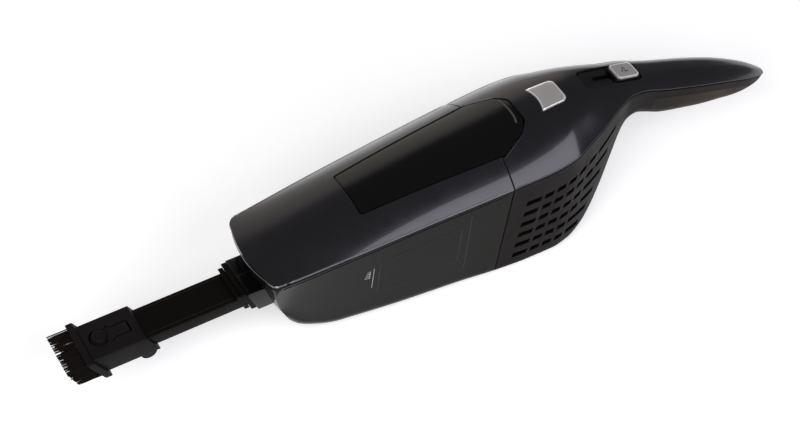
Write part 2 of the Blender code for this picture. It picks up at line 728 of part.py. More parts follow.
def intake_seal():
    profile = [(-1.7, 27), (-1.7, 30), (0.9, 30.8), (0.9, 26.2)]
    return finish(turned("intake_seal", profile, MOTOR_Z, PARTS), "black_rubber")


def fan_housing():
    front, rear = FAN_HOUSING_X
    outer, inner = FAN_HOUSING_RADIUS, FAN_HOUSING_RADIUS - 1.6
    cup = [(front, 17), (front, outer), (rear, outer), (rear, 22), (rear - 1.6, 22), (rear - 1.6, inner),
           (front + 1.6, inner), (front + 1.6, 17)]
    return finish(turned("fan_housing", cup, MOTOR_Z, PARTS), "fan_grey")


def impeller(pivot):
    hub = [(8, 0), (8, 5), (18, 8), (20, FAN_RADIUS), (21.6, FAN_RADIUS), (21.6, 3), (21.6, 0)]
    wheel = turned("impeller", hub, MOTOR_Z, PARTS)
    blades = 7
    for k in range(blades):
        blade = box("blade", (9.5, 6.0, MOTOR_Z - 0.6), (20.6, FAN_RADIUS - 1, MOTOR_Z + 0.6), CUTTERS)
        turn = Matrix.Rotation(2 * math.pi * k / blades, 4, "X")
        lean = Matrix.Rotation(math.radians(25), 4, "X")
        centre = Matrix.Translation((0, 0, MOTOR_Z * MM))
        root = Matrix.Translation((0, 6 * MM, 0))
        blade.data.transform(centre @ turn @ root @ lean @ root.inverted() @ centre.inverted())
        boolean(wheel, blade, "UNION")
    boolean(wheel, rod("shaft_bore", (0, 0, MOTOR_Z), (40, 0, MOTOR_Z), 1.9, CUTTERS, 16))
    return finish(wheel, "fan_grey", pivot)


def motor_shaft(pivot):
    shaft = rod("motor_shaft", (8.5, 0, MOTOR_Z), (CAN_X[0] - 0.4, 0, MOTOR_Z), 1.6, PARTS, 16)
    return finish(shaft, "screen_steel", pivot)


def motor_can():
    front, rear = CAN_X
    can = [(front, 0), (front, CAN_RADIUS), (rear, CAN_RADIUS), (rear + 1.5, CAN_RADIUS - 1.8),
           (rear + 1.5, 6), (rear + 4.5, 6), (rear + 4.5, 0)]
    return finish(turned("motor_can", can, MOTOR_Z, PARTS), "motor_steel")


def motor_ring():
    front, rear = RING_X
    inner = CAN_RADIUS + 0.4
    profile = [(front, inner), (front, RING_RADIUS), (rear, RING_RADIUS), (rear, inner)]
    return finish(turned("motor_ring", profile, MOTOR_Z, PARTS), "black_rubber")


def motor_cradle():
    """Saddle that carries the motor's rubber ring on the housing's floor."""
    outline = rounded_outline([(-25, 3.0), (25, 3.0), (31, 14), (31, 55), (-31, 55), (-31, 14)], 1.5, 1)
    cradle = plate("motor_cradle", outline, "X", CRADLE_X[0], CRADLE_X[1], PARTS)
    reach = RING_RADIUS + GAP
    boolean(cradle, rod("saddle", (50, 0, MOTOR_Z), (75, 0, MOTOR_Z), reach, CUTTERS, 26))
    boolean(cradle, box("mouth", (50, -reach, MOTOR_Z), (75, reach, MOTOR_Z + 20), CUTTERS))
    return finish(cradle, "black_plastic")


def exhaust_foam(name, side):
    inner, outer = sorted((35.0 * side, 36.6 * side))
    return finish(box(name, (9, inner, 14), (56, outer, 88), PARTS), "foam_grey")


def battery_cell(index):
    y = -CELL_Y if index % 2 else CELL_Y
    z = CELL_ROWS_Z[0] if index < 3 else CELL_ROWS_Z[1]
    rear = CELL_FRONT_X + CELL_LENGTH
    cell = rod("battery_cell_%d" % index, (CELL_FRONT_X, y, z), (rear, y, z), CELL_RADIUS, PARTS, 20)
    boolean(cell, rod("cap", (rear - 0.4, y, z), (rear + 1.4, y, z), 3, CUTTERS, 12), "UNION")
    return finish(cell, "cell_green")


def battery_tray():
    outline = [(-20.6, 76.2), (20.6, 76.2), (20.6, 90), (19.2, 90), (19.2, 78.2), (-19.2, 78.2), (-19.2, 90),
               (-20.6, 90)]
    return finish(plate("battery_tray", outline, "X", 31, 98.5, PARTS), "black_plastic")


def latch_bracket():
    """Bridge over the cells: it carries the latch lever's pin and the spring's foot."""
    pin_x, pin_z = LATCH_PIN
    base = box("latch_bracket", (38, -13, 116.7), (88, 13, 118.0), PARTS)
    for low, high in ((-9.5, -7.5), (7.5, 9.5)):
        ear = box("ear", (pin_x - 3.5, low, 117.5), (pin_x + 3.5, high, pin_z + 3.3), CUTTERS)
        boolean(base, ear, "UNION")
    boolean(base, rod("pin_hole", (pin_x, -20, pin_z), (pin_x, 20, pin_z), 1.5, CUTTERS, 16))
    return finish(base, "black_plastic")


def latch_pin():
    pin_x, pin_z = LATCH_PIN
    pin = rod("latch_pin", (pin_x, -10.5, pin_z), (pin_x, 10.5, pin_z), 1.2, PARTS, 12)
    return finish(pin, "screen_steel")


def latch_lever(pivot):
    """Flat lever from the pin forward to the hook under the window's catch."""
    pin_x, pin_z = LATCH_PIN
    arm_low, arm_high = pin_z - 1.0, pin_z + 1.4
    outline = [(24, arm_low), (pin_x - 3.2, arm_low), (pin_x - 2, pin_z - 2.8)]
    outline += [(pin_x + 2, pin_z - 2.8), (pin_x + 3, pin_z), (pin_x + 2, pin_z + 2.8)]
    outline += [(pin_x - 2, pin_z + 2.8), (pin_x - 3.2, arm_high)]
    outline += [(26.4, arm_high), (26.4, pin_z + 2.0), (24, pin_z + 2.0)]
    lever = plate("latch_lever", outline, "Y", -LATCH_HALF_Y, LATCH_HALF_Y, PARTS)
    boolean(lever, rod("pin_bore", (pin_x, -20, pin_z), (pin_x, 20, pin_z), 1.5, CUTTERS, 16))
    return finish(lever, "black_plastic", pivot)


def latch_spring():
    """Compression coil under the lever."""
    per_turn = 8
    low, high = SPRING_Z
    curve = bpy.data.curves.new("latch_spring", "CURVE")
    curve.dimensions = "3D"
    curve.bevel_depth = 0.35 * MM
    curve.bevel_resolution = 0
    curve.use_fill_caps = True
    line = curve.splines.new("POLY")
    count = SPRING_TURNS * per_turn
    line.points.add(count)
    for k, point in enumerate(line.points):
        angle = 2 * math.pi * k / per_turn
        height = low + (high - low) * k / count
        x = SPRING_X + SPRING_RADIUS * math.cos(angle)
        point.co = (x * MM, SPRING_RADIUS * math.sin(angle) * MM, height * MM, 1)
    raw = bpy.data.objects.new("spring_line", curve)
    CUTTERS.objects.link(raw)
    bpy.context.view_layer.update()
    mesh = bpy.data.meshes.new_from_object(raw.evaluated_get(bpy.context.evaluated_depsgraph_get()))
    bpy.data.objects.remove(raw, do_unlink=True)
    bm = bmesh.new()
    bm.from_mesh(mesh)
    bmesh.ops.remove_doubles(bm, verts=bm.verts, dist=0.000001)
    return finish(new_mesh_object("latch_spring", bm, PARTS), "screen_steel")


def button_outline(inset):
    """Plan of the release button: a hollow front edge and rounded rear corners."""
    front, rear = BUTTON_X[0] + inset, BUTTON_X[1] - inset
    half = BUTTON_Y - inset
    hollow = [(front + 1.2 + 2.3 * (1 - (k / 3) ** 2), half * k / 3) for k in (-3, -2, -1, 0, 1, 2, 3)]
    tail = rounded_outline([(front + 8, half), (rear, half - 0.8), (rear, -half + 0.8), (front + 8, -half)],
                           [0, 4, 4, 0], 3)
    return hollow + tail[1:-1]


def release_button(pivot):
    button = body_solid("release_button", stations_between(40, 78, -0.9), PARTS)
    boolean(button, body_solid("button_under", stations_between(36, 82, 1.6), CUTTERS))
    boolean(button, plate("button_plan", button_outline(0.0), "Z", 100, 160, CUTTERS), "INTERSECT")
    boolean(button, rod("stem", (58, 0, 126.0), (58, 0, 136.0), 2.6, CUTTERS, 16), "UNION")
    return finish(button, "silver_satin", pivot)


def track_outline(inset):
    front, rear = TRACK_X[0] + inset, TRACK_X[1] - inset
    half = TRACK_Y - inset
    return rounded_outline([(front, -half), (rear, -half), (rear, half), (front, half)], 5.0, 3)


def tilt_to_track(part):
    """Turn a piece made flat at the track's middle to the track's slope."""
    middle = Matrix.Translation(((TRACK_X[0] + TRACK_X[1]) / 2 * MM, 0, TRACK_TOP_Z * MM))
    part.data.transform(middle @ Matrix.Rotation(TRACK_TILT, 4, "Y"))
    return part


def local_plate(name, x_range, half, radius, low, high, group):
    corners = [(x_range[0], -half), (x_range[1], -half), (x_range[1], half), (x_range[0], half)]
    return tilt_to_track(plate(name, rounded_outline(corners, radius, 3), "Z", low, high, group))


def switch_track():
    half_length = (TRACK_X[1] - TRACK_X[0]) / 2
    x_range = (-half_length + 0.6, half_length - 0.2)
    track = local_plate("switch_track", x_range, TRACK_Y - 0.6, 4.6, -1.6, 0.0, PARTS)
    slot = local_plate("track_slot", (-16, 17), 2.0, 1.9, -4, 3, CUTTERS)
    boolean(track, slot)
    return finish(track, "black_gloss")


def slider_base(pivot):
    base = local_plate("slider_base", (0.8, 25.2), 9.3, 4.0, 0.3, 2.0, PARTS)
    stem = local_plate("slider_stem", (11.5, 15.5), 1.5, 0.5, -4.6, 1.0, CUTTERS)
    boolean(base, stem, "UNION")
    return finish(base, "black_gloss", pivot)


def slider_cap(pivot):
    cap = local_plate("slider_cap", (2.9, 23.6), 8.2, 3.2, 2.3, 4.0, PARTS)
    bevelled(cap, 0.5, 1)
    return finish(cap, "silver_satin", pivot)


def circuit_board():
    board = local_plate("circuit_board", (-18, 26), 12.0, 1.5, -13.2, -11.6, PARTS)
    return finish(board, "board_green")


def slide_switch():
    body = local_plate("slide_switch", (-16, 19), 4.0, 0.6, -11.3, -5.0, PARTS)
    return finish(body, "black_plastic")


def crevice_tube(pivot):
    tube = leaning_block("crevice_tube", TUBE_TIP_X, TUBE_END_X, TUBE_Y, TUBE_Z, 1.0, BRUSH_LEAN, 0, PARTS)
    collar = leaning_block("collar", -211.8, PORT_X - GAP, COLLAR_Y, COLLAR_Z, 1.2, PORT_LEAN, PORT_LEAN,
                           CUTTERS)
    boolean(tube, collar, "UNION")
    bore_z = (TUBE_Z[0] + TUBE_WALL, TUBE_Z[1] - TUBE_WALL)
    boolean(tube, leaning_block("bore", -360, -170, TUBE_Y - TUBE_WALL, bore_z, 0.6, 0, 0, CUTTERS))
    return finish(tube, "black_plastic", pivot)


def brush_sleeve(pivot):
    sleeve = leaning_block("brush_sleeve", BRUSH_FRONT_X, BRUSH_REAR_X, BRUSH_Y, BRUSH_Z, 1.6, BRUSH_LEAN,
                           BRUSH_LEAN, PARTS)
    flange_rear = BRUSH_FRONT_X + 0.8
    flange = leaning_block("flange", flange_rear - FLANGE_THICK, flange_rear, FLANGE_Y, FLANGE_Z, 1.4,
                           BRUSH_LEAN, BRUSH_LEAN, CUTTERS)
    boolean(sleeve, flange, "UNION")
    foot_x, foot_z = FOOT_CENTRE
    foot = rod("foot", (foot_x, -FOOT_HALF, foot_z), (foot_x, FOOT_HALF, foot_z), FOOT_RADIUS, CUTTERS, 20)
    boolean(sleeve, foot, "UNION")
    bore_z = (TUBE_Z[0] - GAP, TUBE_Z[1] + GAP)
    boolean(sleeve, leaning_block("bore", -360, -250, TUBE_Y + GAP, bore_z, 1.0, 0, 0, CUTTERS))
    boolean(sleeve, plate("latch_seat", latch_outline(0.0), "Z", 69.0, 90, CUTTERS))
    return finish(sleeve, "black_plastic", pivot)


def latch_outline(inset):
    """Plan of the brush latch: a round pad, flared into a straight tongue."""
    radius = LATCH_RADIUS - inset
    half, flare = LATCH_HALF - inset, LATCH_FLARE - inset
    pad = []
    for k in range(13):
        angle = math.radians(46 + 268 * k / 12)
        pad.append((LATCH_CENTRE_X + radius * math.cos(angle), radius * math.sin(angle)))
    tail = [(LATCH_CENTRE_X + 7.5, -flare), (LATCH_CENTRE_X + 10.5, -half), (LATCH_ROOT_X - inset, -half)]
    return pad + tail + [(x, -y) for x, y in reversed(tail)]


def brush_latch(pivot):
    tongue = plate("brush_latch", latch_outline(GAP), "Z", 71.2, 72.9, PARTS)
    pad = rod("pad", (LATCH_CENTRE_X, 0, 72.0), (LATCH_CENTRE_X, 0, 75.6), 6.4, CUTTERS, 24, 5.4)
    boolean(tongue, pad, "UNION")
    return finish(tongue, "black_plastic", pivot)


def bristle_ring(pivot):
    """Bristle tufts as one ring round the tube's way, leaning with the flange."""
    root = BRUSH_FRONT_X - FLANGE_THICK + 0.8 - GAP
    ring = leaning_block("bristle_ring", root - BRISTLE_LENGTH, root, FLANGE_Y - 2.3, (54.9, 73.4), 1.0,
                         0.45, BRUSH_LEAN, PARTS)
    for vertex in ring.data.vertices:
        if vertex.co.x < (root - 3) * MM and vertex.co.z < 64 * MM:
            vertex.co.z += 1.2 * MM
    bore_z = (TUBE_Z[0] - GAP, TUBE_Z[1] + GAP)
    boolean(ring, leaning_block("bore", -370, -320, TUBE_Y + GAP, bore_z, 1.0, 0, 0, CUTTERS))
    return finish(ring, "bristle_black", pivot)


clear_scene()
PARTS = collection("handheld_vacuum")
CUTTERS = collection("cutters")

dust_pivot = pivot_empty("dust_unit_origin", 0, 0, 60)
filter_pivot = pivot_empty("filter_unit_origin", 0, 0, 60)
flap_pivot = pivot_empty("flap_origin", DUCT_END_X + 1.0, 0, PORT_Z[1] - 2.1)
rotor_pivot = pivot_empty("rotor_origin", 15, 0, MOTOR_Z)
button_pivot = pivot_empty("button_origin", 58, 0, 136)
lever_pivot = pivot_empty("lever_origin", LATCH_PIN[0], 0, LATCH_PIN[1])
slider_pivot = pivot_empty("slider_origin", 129, 0, 126)
tool_pivot = pivot_empty("tool_origin", PORT_X, 0, 64)
brush_pivot = pivot_empty("brush_origin", BRUSH_REAR_X, 0, 64)
brush_latch_pivot = pivot_empty("brush_latch_origin", LATCH_ROOT_X, 0, 72)

dust_container(dust_pivot)
top_cover(dust_pivot)
window_panel(dust_pivot)
nozzle_port(dust_pivot)
flap_hinge(dust_pivot)
inlet_flap(flap_pivot)
filter_frame(filter_pivot)
filter_screen(filter_pivot)
filter_pleats(filter_pivot)
pull_tab(filter_pivot)
rear_upper_shell()
lower_housing()
grip_panel()
charging_socket()
bulkhead()
intake_seal()
fan_housing()
impeller(rotor_pivot)
motor_shaft(rotor_pivot)
motor_can()
motor_ring()
motor_cradle()
exhaust_foam("exhaust_foam_left", -1)
exhaust_foam("exhaust_foam_right", 1)
for number in (1, 2, 3, 4):
    battery_cell(number)
battery_tray()
latch_bracket()
latch_pin()
latch_lever(lever_pivot)
latch_spring()
release_button(button_pivot)
switch_track()
slider_base(slider_pivot)
slider_cap(slider_pivot)
circuit_board()
slide_switch()
for number, (x, z) in enumerate(HANDLE_SCREWS, 1):
    screw("handle_screw_%d" % number, x, 0, z)
for number, (x, y) in enumerate(BELLY_SCREWS, 1):
    screw("belly_screw_%d" % number, x, y, 0)
crevice_tube(tool_pivot)
brush_sleeve(brush_pivot)
brush_latch(brush_latch_pivot)
bristle_ring(brush_pivot)
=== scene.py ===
# Handheld vacuum cleaner: the looks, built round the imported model. Lengths are in millimetres until meshed.
import math
import random
import bmesh
import bpy
from mathutils import Matrix, Vector


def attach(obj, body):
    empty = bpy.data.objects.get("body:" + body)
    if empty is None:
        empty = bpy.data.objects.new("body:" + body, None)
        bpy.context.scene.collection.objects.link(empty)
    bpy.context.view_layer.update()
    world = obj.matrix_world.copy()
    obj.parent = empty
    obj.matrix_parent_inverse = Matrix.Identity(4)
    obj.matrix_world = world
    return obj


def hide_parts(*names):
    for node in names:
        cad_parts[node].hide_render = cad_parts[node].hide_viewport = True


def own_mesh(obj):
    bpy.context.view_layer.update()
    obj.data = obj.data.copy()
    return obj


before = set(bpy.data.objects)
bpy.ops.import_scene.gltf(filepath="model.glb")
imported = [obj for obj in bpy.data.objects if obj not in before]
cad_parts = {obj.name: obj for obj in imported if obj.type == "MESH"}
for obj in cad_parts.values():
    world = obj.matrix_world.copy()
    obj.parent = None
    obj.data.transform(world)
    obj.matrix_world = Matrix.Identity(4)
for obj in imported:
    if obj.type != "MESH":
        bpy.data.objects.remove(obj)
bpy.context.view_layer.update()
mm = 0.001
gap = 0.3
wall = 2.2
seamLift = 0.12
jointGap = 0.75
jointLean = 0.05
jointZ = 108.0  # the joint plane crosses x = 0 at this height
crownDrop = 1.1  # how far the crown sinks for each millimetre of inset
tailX = 274.0
print("frame loaded")

body = {
    "ridgeZ": [(-205, 93.3), (-180, 95.2), (-128, 100), (-65, 105), (-10, 108.5), (33, 110.7), (54, 112.5),
               (73, 115.2), (91, 118), (108, 120.1), (124, 120.3), (137, 117.8), (159, 108.5), (195, 95),
               (226, 83), (262, 66), (274, 59.5)],
    "ridgeY": [(-205, 38.4), (-180, 40.2), (-128, 43.7), (-65, 47.3), (-10, 50.5), (33, 52.3), (54, 50.6),
               (73, 43.8), (91, 36.6), (108, 28.2), (127, 20.9), (150, 18.9), (195, 17.6), (226, 15.4),
               (255, 11), (268, 6.8), (274, 3.6)],
    "crownZ": [(-205, 96.5), (-165, 107.5), (-114, 118), (-55, 126), (0, 131), (30, 134.3), (58, 136.8),
               (80, 137), (98, 135), (120, 130), (142, 123.5), (165, 115.5), (195, 104.5), (226, 91.5),
               (255, 76), (268, 67), (274, 62)],
    "bellyZ": [(-180, 27), (-167, 11), (-155, 5), (-145, 1.5), (-135, 0), (66, 0), (77, 3), (88, 13),
               (100, 33), (110.5, 58), (119.5, 78), (127, 85.5), (134, 86.5), (146, 81.5), (160, 74),
               (187, 66), (218, 58), (250, 52), (264, 53), (274, 57)],
    "bellyY": [(-205, 20), (-142, 26.6), (-85, 32.8), (-34, 36.4), (0, 39.6), (25, 41.3), (48, 41.5),
               (62, 39), (78, 34.5), (95, 28), (110, 22.5), (124, 18.5), (150, 16.5), (195, 15.5),
               (226, 13), (255, 9), (268, 5.4), (274, 2.6)],
    "cornerR": [(-205, 20), (-142, 18), (-85, 15), (-34, 12), (0, 10), (60, 10), (80, 14), (124, 14),
                (150, 14.5), (226, 12), (255, 8), (274, 2)],
    "power": [(-205, 2.4), (0, 2.25), (100, 2.3), (150, 2.7), (274, 2.7)],
    "faceX": [(0, -165), (20, -174), (55, -189.2), (76, -196), (92, -199)],
}


def smoothValue(points, x):
    if x <= points[0][0]:
        return points[0][1]
    if x >= points[-1][0]:
        return points[-1][1]
    spans = [(b[1] - a[1]) / (b[0] - a[0]) for a, b in zip(points, points[1:])]

    def slope(i):
        if i == 0:
            return spans[0]
        if i == len(points) - 1:
            return spans[-1]
        before, after = spans[i - 1], spans[i]
        return 2 * before * after / (before + after) if before * after > 0 else 0.0

    i = max(k for k in range(len(points) - 1) if points[k][0] <= x)
    width = points[i + 1][0] - points[i][0]
    t = (x - points[i][0]) / width
    rise = points[i + 1][1] - points[i][1]
    a, b = slope(i) * width, slope(i + 1) * width
    return points[i][1] + t * a + t * t * (3 * rise - 2 * a - b) + t ** 3 * (a + b - 2 * rise)


def at(name, x):
    return smoothValue(body[name], x)


def halfSection(x, inset):  # from the belly's middle round to the crown's
    ridgeY, ridgeZ = at("ridgeY", x) - inset, at("ridgeZ", x)
    crownZ = at("crownZ", x) - crownDrop * inset
    bellyZ = max(at("bellyZ", x - inset), at("bellyZ", x + inset)) + inset
    bellyY = at("bellyY", x) - inset
    power = at("power", x)
    corner = max(1.2, min(at("cornerR", x) - 0.8 * inset, 0.92 * bellyY, 0.75 * (ridgeZ - bellyZ)))
    points = [(0.0, bellyZ), (0.35 * (bellyY - corner), bellyZ), (0.7 * (bellyY - corner), bellyZ)]
    for k in range(9):
        turn = math.radians(90 * k / 8)
        points.append((bellyY - corner + corner * math.sin(turn), bellyZ + corner - corner * math.cos(turn)))
    lowZ = bellyZ + corner
    for k in range(1, 6):
        points.append((bellyY + (ridgeY - bellyY) * k / 5, lowZ + (ridgeZ - lowZ) * k / 5))
    for k in range(1, 25):
        share = 1 - k / 24
        points.append((ridgeY * share, crownZ - (crownZ - ridgeZ) * share ** power))
    return points


def link(name, bm):
    bmesh.ops.recalc_face_normals(bm, faces=bm.faces)
    mesh = bpy.data.meshes.new(name)
    bm.to_mesh(mesh)
    bm.free()
    made = bpy.data.objects.new(name, mesh)
    bpy.context.scene.collection.objects.link(made)
    return made


def loft(name, rings):
    bm = bmesh.new()
    loops = [[bm.verts.new(Vector(p) * mm) for p in ring] for ring in rings]
    for one, two in zip(loops, loops[1:]):
        for k in range(len(one)):
            j = (k + 1) % len(one)
            bm.faces.new((one[k], one[j], two[j], two[k]))
    bm.faces.new(loops[0])
    bm.faces.new(loops[-1])
    return link(name, bm)


def bodySolid(name, start, end, inset, pitch=4.3):
    count = max(1, round((end - start) / pitch))
    rings = []
    for k in range(count + 1):
        x = start + (end - start) * k / count
        half = halfSection(x, inset)
        rings.append([(x, y, z) for y, z in half] + [(x, -y, z) for y, z in reversed(half[1:-1])])
    return loft(name, rings)


def roundedOutline(corners, radius, steps=7):
    count = len(corners)
    radii = radius if isinstance(radius, (list, tuple)) else [radius] * count
    outline = []
    for k, corner in enumerate(corners):
        here = Vector(corner)
        toLast = (Vector(corners[k - 1]) - here).normalized()
        toNext = (Vector(corners[(k + 1) % count]) - here).normalized()
        if radii[k] <= 0:
            outline.append(tuple(here))
            continue
        halfAngle = toLast.angle(toNext) / 2
        reach = radii[k] / math.tan(halfAngle)
        centre = here + (toLast + toNext).normalized() * (radii[k] / math.sin(halfAngle))
        first = (here + toLast * reach - centre).normalized()
        last = (here + toNext * reach - centre).normalized()
        outline += [tuple(centre + radii[k] * first.slerp(last, s / steps)) for s in range(steps + 1)]
    return outline


def plate(name, outline, axis, low, high):
    curve = bpy.data.curves.new(name, "CURVE")
    curve.dimensions = "2D"
    curve.fill_mode = "BOTH"
    curve.extrude = (high - low) / 2 * mm
    line = curve.splines.new("POLY")
    line.points.add(len(outline) - 1)
    for point, (u, v) in zip(line.points, outline):
        point.co = (u * mm, v * mm, 0, 1)
    line.use_cyclic_u = True
    flat = bpy.data.objects.new(name, curve)
    bpy.context.scene.collection.objects.link(flat)
    bpy.context.view_layer.update()
    mesh = bpy.data.meshes.new_from_object(flat.evaluated_get(bpy.context.evaluated_depsgraph_get()))
    bpy.data.objects.remove(flat, do_unlink=True)
    middle = (low + high) / 2 * mm
    turns = {
        "X": Matrix(((0, 0, 1, middle), (1, 0, 0, 0), (0, 1, 0, 0), (0, 0, 0, 1))),
        "Y": Matrix(((1, 0, 0, 0), (0, 0, -1, middle), (0, 1, 0, 0), (0, 0, 0, 1))),
        "Z": Matrix.Translation((0, 0, middle)),
    }
    bm = bmesh.new()
    bm.from_mesh(mesh)
    bmesh.ops.remove_doubles(bm, verts=bm.verts, dist=0.000001)
    bmesh.ops.transform(bm, matrix=turns[axis], verts=bm.verts)
    return link(name, bm)


def box(name, low, high):
    bm = bmesh.new()
    bmesh.ops.create_cube(bm, size=1.0)
    bmesh.ops.scale(bm, vec=[(b - a) * mm for a, b in zip(low, high)], verts=bm.verts)
    bmesh.ops.translate(bm, vec=[(a + b) / 2 * mm for a, b in zip(low, high)], verts=bm.verts)
    return link(name, bm)


def rod(name, start, end, radius, sides=48, endRadius=None):
    a, b = Vector(start) * mm, Vector(end) * mm
    second = radius if endRadius is None else endRadius
    bm = bmesh.new()
    bmesh.ops.create_cone(bm, cap_ends=True, segments=sides, radius1=radius * mm, radius2=second * mm,
                          depth=(b - a).length)
    turn = (b - a).to_track_quat("Z", "Y").to_matrix().to_4x4()
    bmesh.ops.transform(bm, matrix=Matrix.Translation((a + b) / 2) @ turn, verts=bm.verts)
    return link(name, bm)


def leaningBlock(name, frontX, rearX, halfY, zRange, radius, frontLean, rearLean, steps=5):
    low, high = zRange
    outline = roundedOutline([(-halfY, low), (halfY, low), (halfY, high), (-halfY, high)], radius, steps)
    rings = []
    for share in (0, 0.25, 0.5, 0.75, 1):
        ring = []
        for y, z in outline:
            a, b = frontX + frontLean * (high - z), rearX + rearLean * (high - z)
            ring.append((a + (b - a) * share, y, z))
        rings.append(ring)
    return loft(name, rings)


def isClosed(mesh):
    bm = bmesh.new()
    bm.from_mesh(mesh)
    closed = len(bm.faces) > 0 and all(len(edge.link_faces) == 2 for edge in bm.edges)
    bm.free()
    return closed


def boolean(part, other, operation="DIFFERENCE"):
    step = part.modifiers.new(other.name, "BOOLEAN")
    step.object = other
    step.operation = operation
    for solver in ("EXACT", "MANIFOLD"):
        step.solver = solver
        bpy.context.view_layer.update()
        mesh = bpy.data.meshes.new_from_object(part.evaluated_get(bpy.context.evaluated_depsgraph_get()))
        if isClosed(mesh):
            break
    part.modifiers.clear()
    part.data = mesh
    bpy.data.objects.remove(other, do_unlink=True)
    return part


def bevelled(part, width, segments=3, angle=35):  # applied at once
    step = part.modifiers.new("edges", "BEVEL")
    step.width = width * mm
    step.segments = segments
    step.limit_method = "ANGLE"
    step.angle_limit = math.radians(angle)
    bpy.context.view_layer.update()
    part.data = bpy.data.meshes.new_from_object(part.evaluated_get(bpy.context.evaluated_depsgraph_get()))
    part.modifiers.clear()
    return part


def sweep(name, points, radius, closed=False, sides=3):
    curve = bpy.data.curves.new(name, "CURVE")
    curve.dimensions = "3D"
    curve.bevel_depth = radius * mm
    curve.bevel_resolution = sides
    curve.use_fill_caps = True
    line = curve.splines.new("POLY")
    line.points.add(len(points) - 1)
    for point, co in zip(line.points, points):
        point.co = (*[c * mm for c in co], 1)
    line.use_cyclic_u = closed
    raw = bpy.data.objects.new(name, curve)
    bpy.context.scene.collection.objects.link(raw)
    bpy.context.view_layer.update()
    mesh = bpy.data.meshes.new_from_object(raw.evaluated_get(bpy.context.evaluated_depsgraph_get()))
    bpy.data.objects.remove(raw, do_unlink=True)
    bm = bmesh.new()
    bm.from_mesh(mesh)
    bmesh.ops.remove_doubles(bm, verts=bm.verts, dist=0.000001)
    return link(name, bm)


def join(name, parts):
    bm = bmesh.new()
    for part in parts:
        bm.from_mesh(part.data)
        bpy.data.objects.remove(part, do_unlink=True)
    return link(name, bm)


def dress(part, material, ridesOn, nodes=(), angle=32, weighted=False):
    part.data.materials.clear()
    part.data.materials.append(material)
    part.data.shade_smooth()
    part.data.set_sharp_from_angle(angle=math.radians(angle))
    if weighted:
        step = part.modifiers.new("normals", "WEIGHTED_NORMAL")
        step.keep_sharp = True
        step.weight = 80
    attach(part, ridesOn)
    if nodes:
        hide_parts(*nodes)
    return part


def jointX(z, side):
    return jointLean * (z - jointZ) + side * jointGap


def ridgeRegion(unit, edgeZ, drop, pitch=3.0):
    start, end = (-215, 0) if unit == "dust" else (0, tailX + 8)
    count = round((end - start) / pitch)
    xs = [start + (end - start) * k / count for k in range(count + 1)]
    line = [(x, at("ridgeZ", x) - drop) for x in xs]
    if unit == "dust":
        line[-1] = (jointX(line[-1][1], -1), line[-1][1])
        far = [(jointX(edgeZ, -1), edgeZ), (-215, edgeZ)]
    else:
        line[0] = (jointX(line[0][1], 1), line[0][1])
        far = [(tailX + 8, edgeZ), (jointX(edgeZ, 1), edgeZ)]
    return plate("region", far + line, "Y", -70, 70)


nose = {"x": -200.6, "bow": 6.5, "cornerY": 40.5, "cornerR": 12.0}


def noseFront(inset, steps=12):  # the bowed front between two rounded corners, from -Y to +Y
    front, half, r = nose["x"] + inset, nose["cornerY"] - inset, nose["cornerR"]
    arc = []
    for k in range(-steps, steps + 1):
        y = (half - r) * k / steps
        arc.append((front + nose["bow"] * (y / 34.0) ** 2, y))
    edgeX = arc[0][0]
    left = []
    for k in range(steps):
        a = math.radians(90 * k / steps)
        left.append((edgeX + r * (1 - math.sin(a)), -(half - r) - r * math.cos(a)))
    return left + arc + [(x, -y) for x, y in reversed(left)]


def noseOutline(inset):
    front = noseFront(inset)
    return [(60, -70), (front[0][0], -70)] + front + [(front[-1][0], 70), (60, 70)]


def nosePlate(inset):
    return plate("nosePlan", noseOutline(inset), "Z", 60, 160)


def leaningNose(inset):
    rings = []
    for z in (-20, 0, 8, 15, 22, 30, 38, 46, 55, 62, 69, 76, 84, 92, 160):
        shift = at("faceX", z) - nose["x"]
        rings.append([(x + shift if x < 0 else x, y, z) for x, y in noseOutline(inset)])
    return loft("noseLean", rings)


def crownAt(x, y, inset=0.0):
    crown, ridge, half = at("crownZ", x) - crownDrop * inset, at("ridgeZ", x), at("ridgeY", x) - inset
    return crown - (crown - ridge) * (min(abs(y), half) / half) ** at("power", x)


def crownBead(name, outline, radius, lift, closed=False, inset=0.0, pitch=2.5):  # a bead laid along the crown
    path = []
    for (x0, y0), (x1, y1) in zip(outline, outline[1:] + outline[:1] if closed else outline[1:]):
        steps = max(1, round(math.hypot(x1 - x0, y1 - y0) / pitch))
        for k in range(steps):
            x, y = x0 + (x1 - x0) * k / steps, y0 + (y1 - y0) * k / steps
            path.append((x, y, crownAt(x, y, inset) + lift))
    if not closed:
        x, y = outline[-1]
        path.append((x, y, crownAt(x, y, inset) + lift))
    return sweep(name, path, radius, closed)


def windowOutline(inset):
    front, rear = -114.5 + inset, 31.5 - inset
    widths = ((front, 22.0 - inset), (4, 30.5 - inset), (24, 21.5 - inset))
    side = [(x, -y) for x, y in widths]
    rearY = 12.5 - inset
    corners = side + [(rear, -rearY), (rear, rearY)] + [(x, y) for x, y in reversed(widths)]
    return roundedOutline(corners, [3, 3, 6, 8, 8, 6, 3, 3], 6)


def crownShell(name, start, end, outer, inner, shape=None):
    shell = bodySolid(name, start, end, outer)
    innerEnd = end + 6 if end < tailX else end - 9
    hollow = bodySolid("hollow", start - 6, innerEnd, inner, 8)
    if shape:
        boolean(shell, shape(0.0), "INTERSECT")
        boolean(hollow, shape(wall), "INTERSECT")
    return boolean(shell, hollow)


def sideY(x, z, inset=0.0):  # half width of the body's side at a height
    half = halfSection(x, inset)
    best = half[0][0]
    for (y0, z0), (y1, z1) in zip(half, half[1:]):
        if z0 <= z <= z1 and z1 > z0:
            best = y0 + (y1 - y0) * (z - z0) / (z1 - z0)
    return best


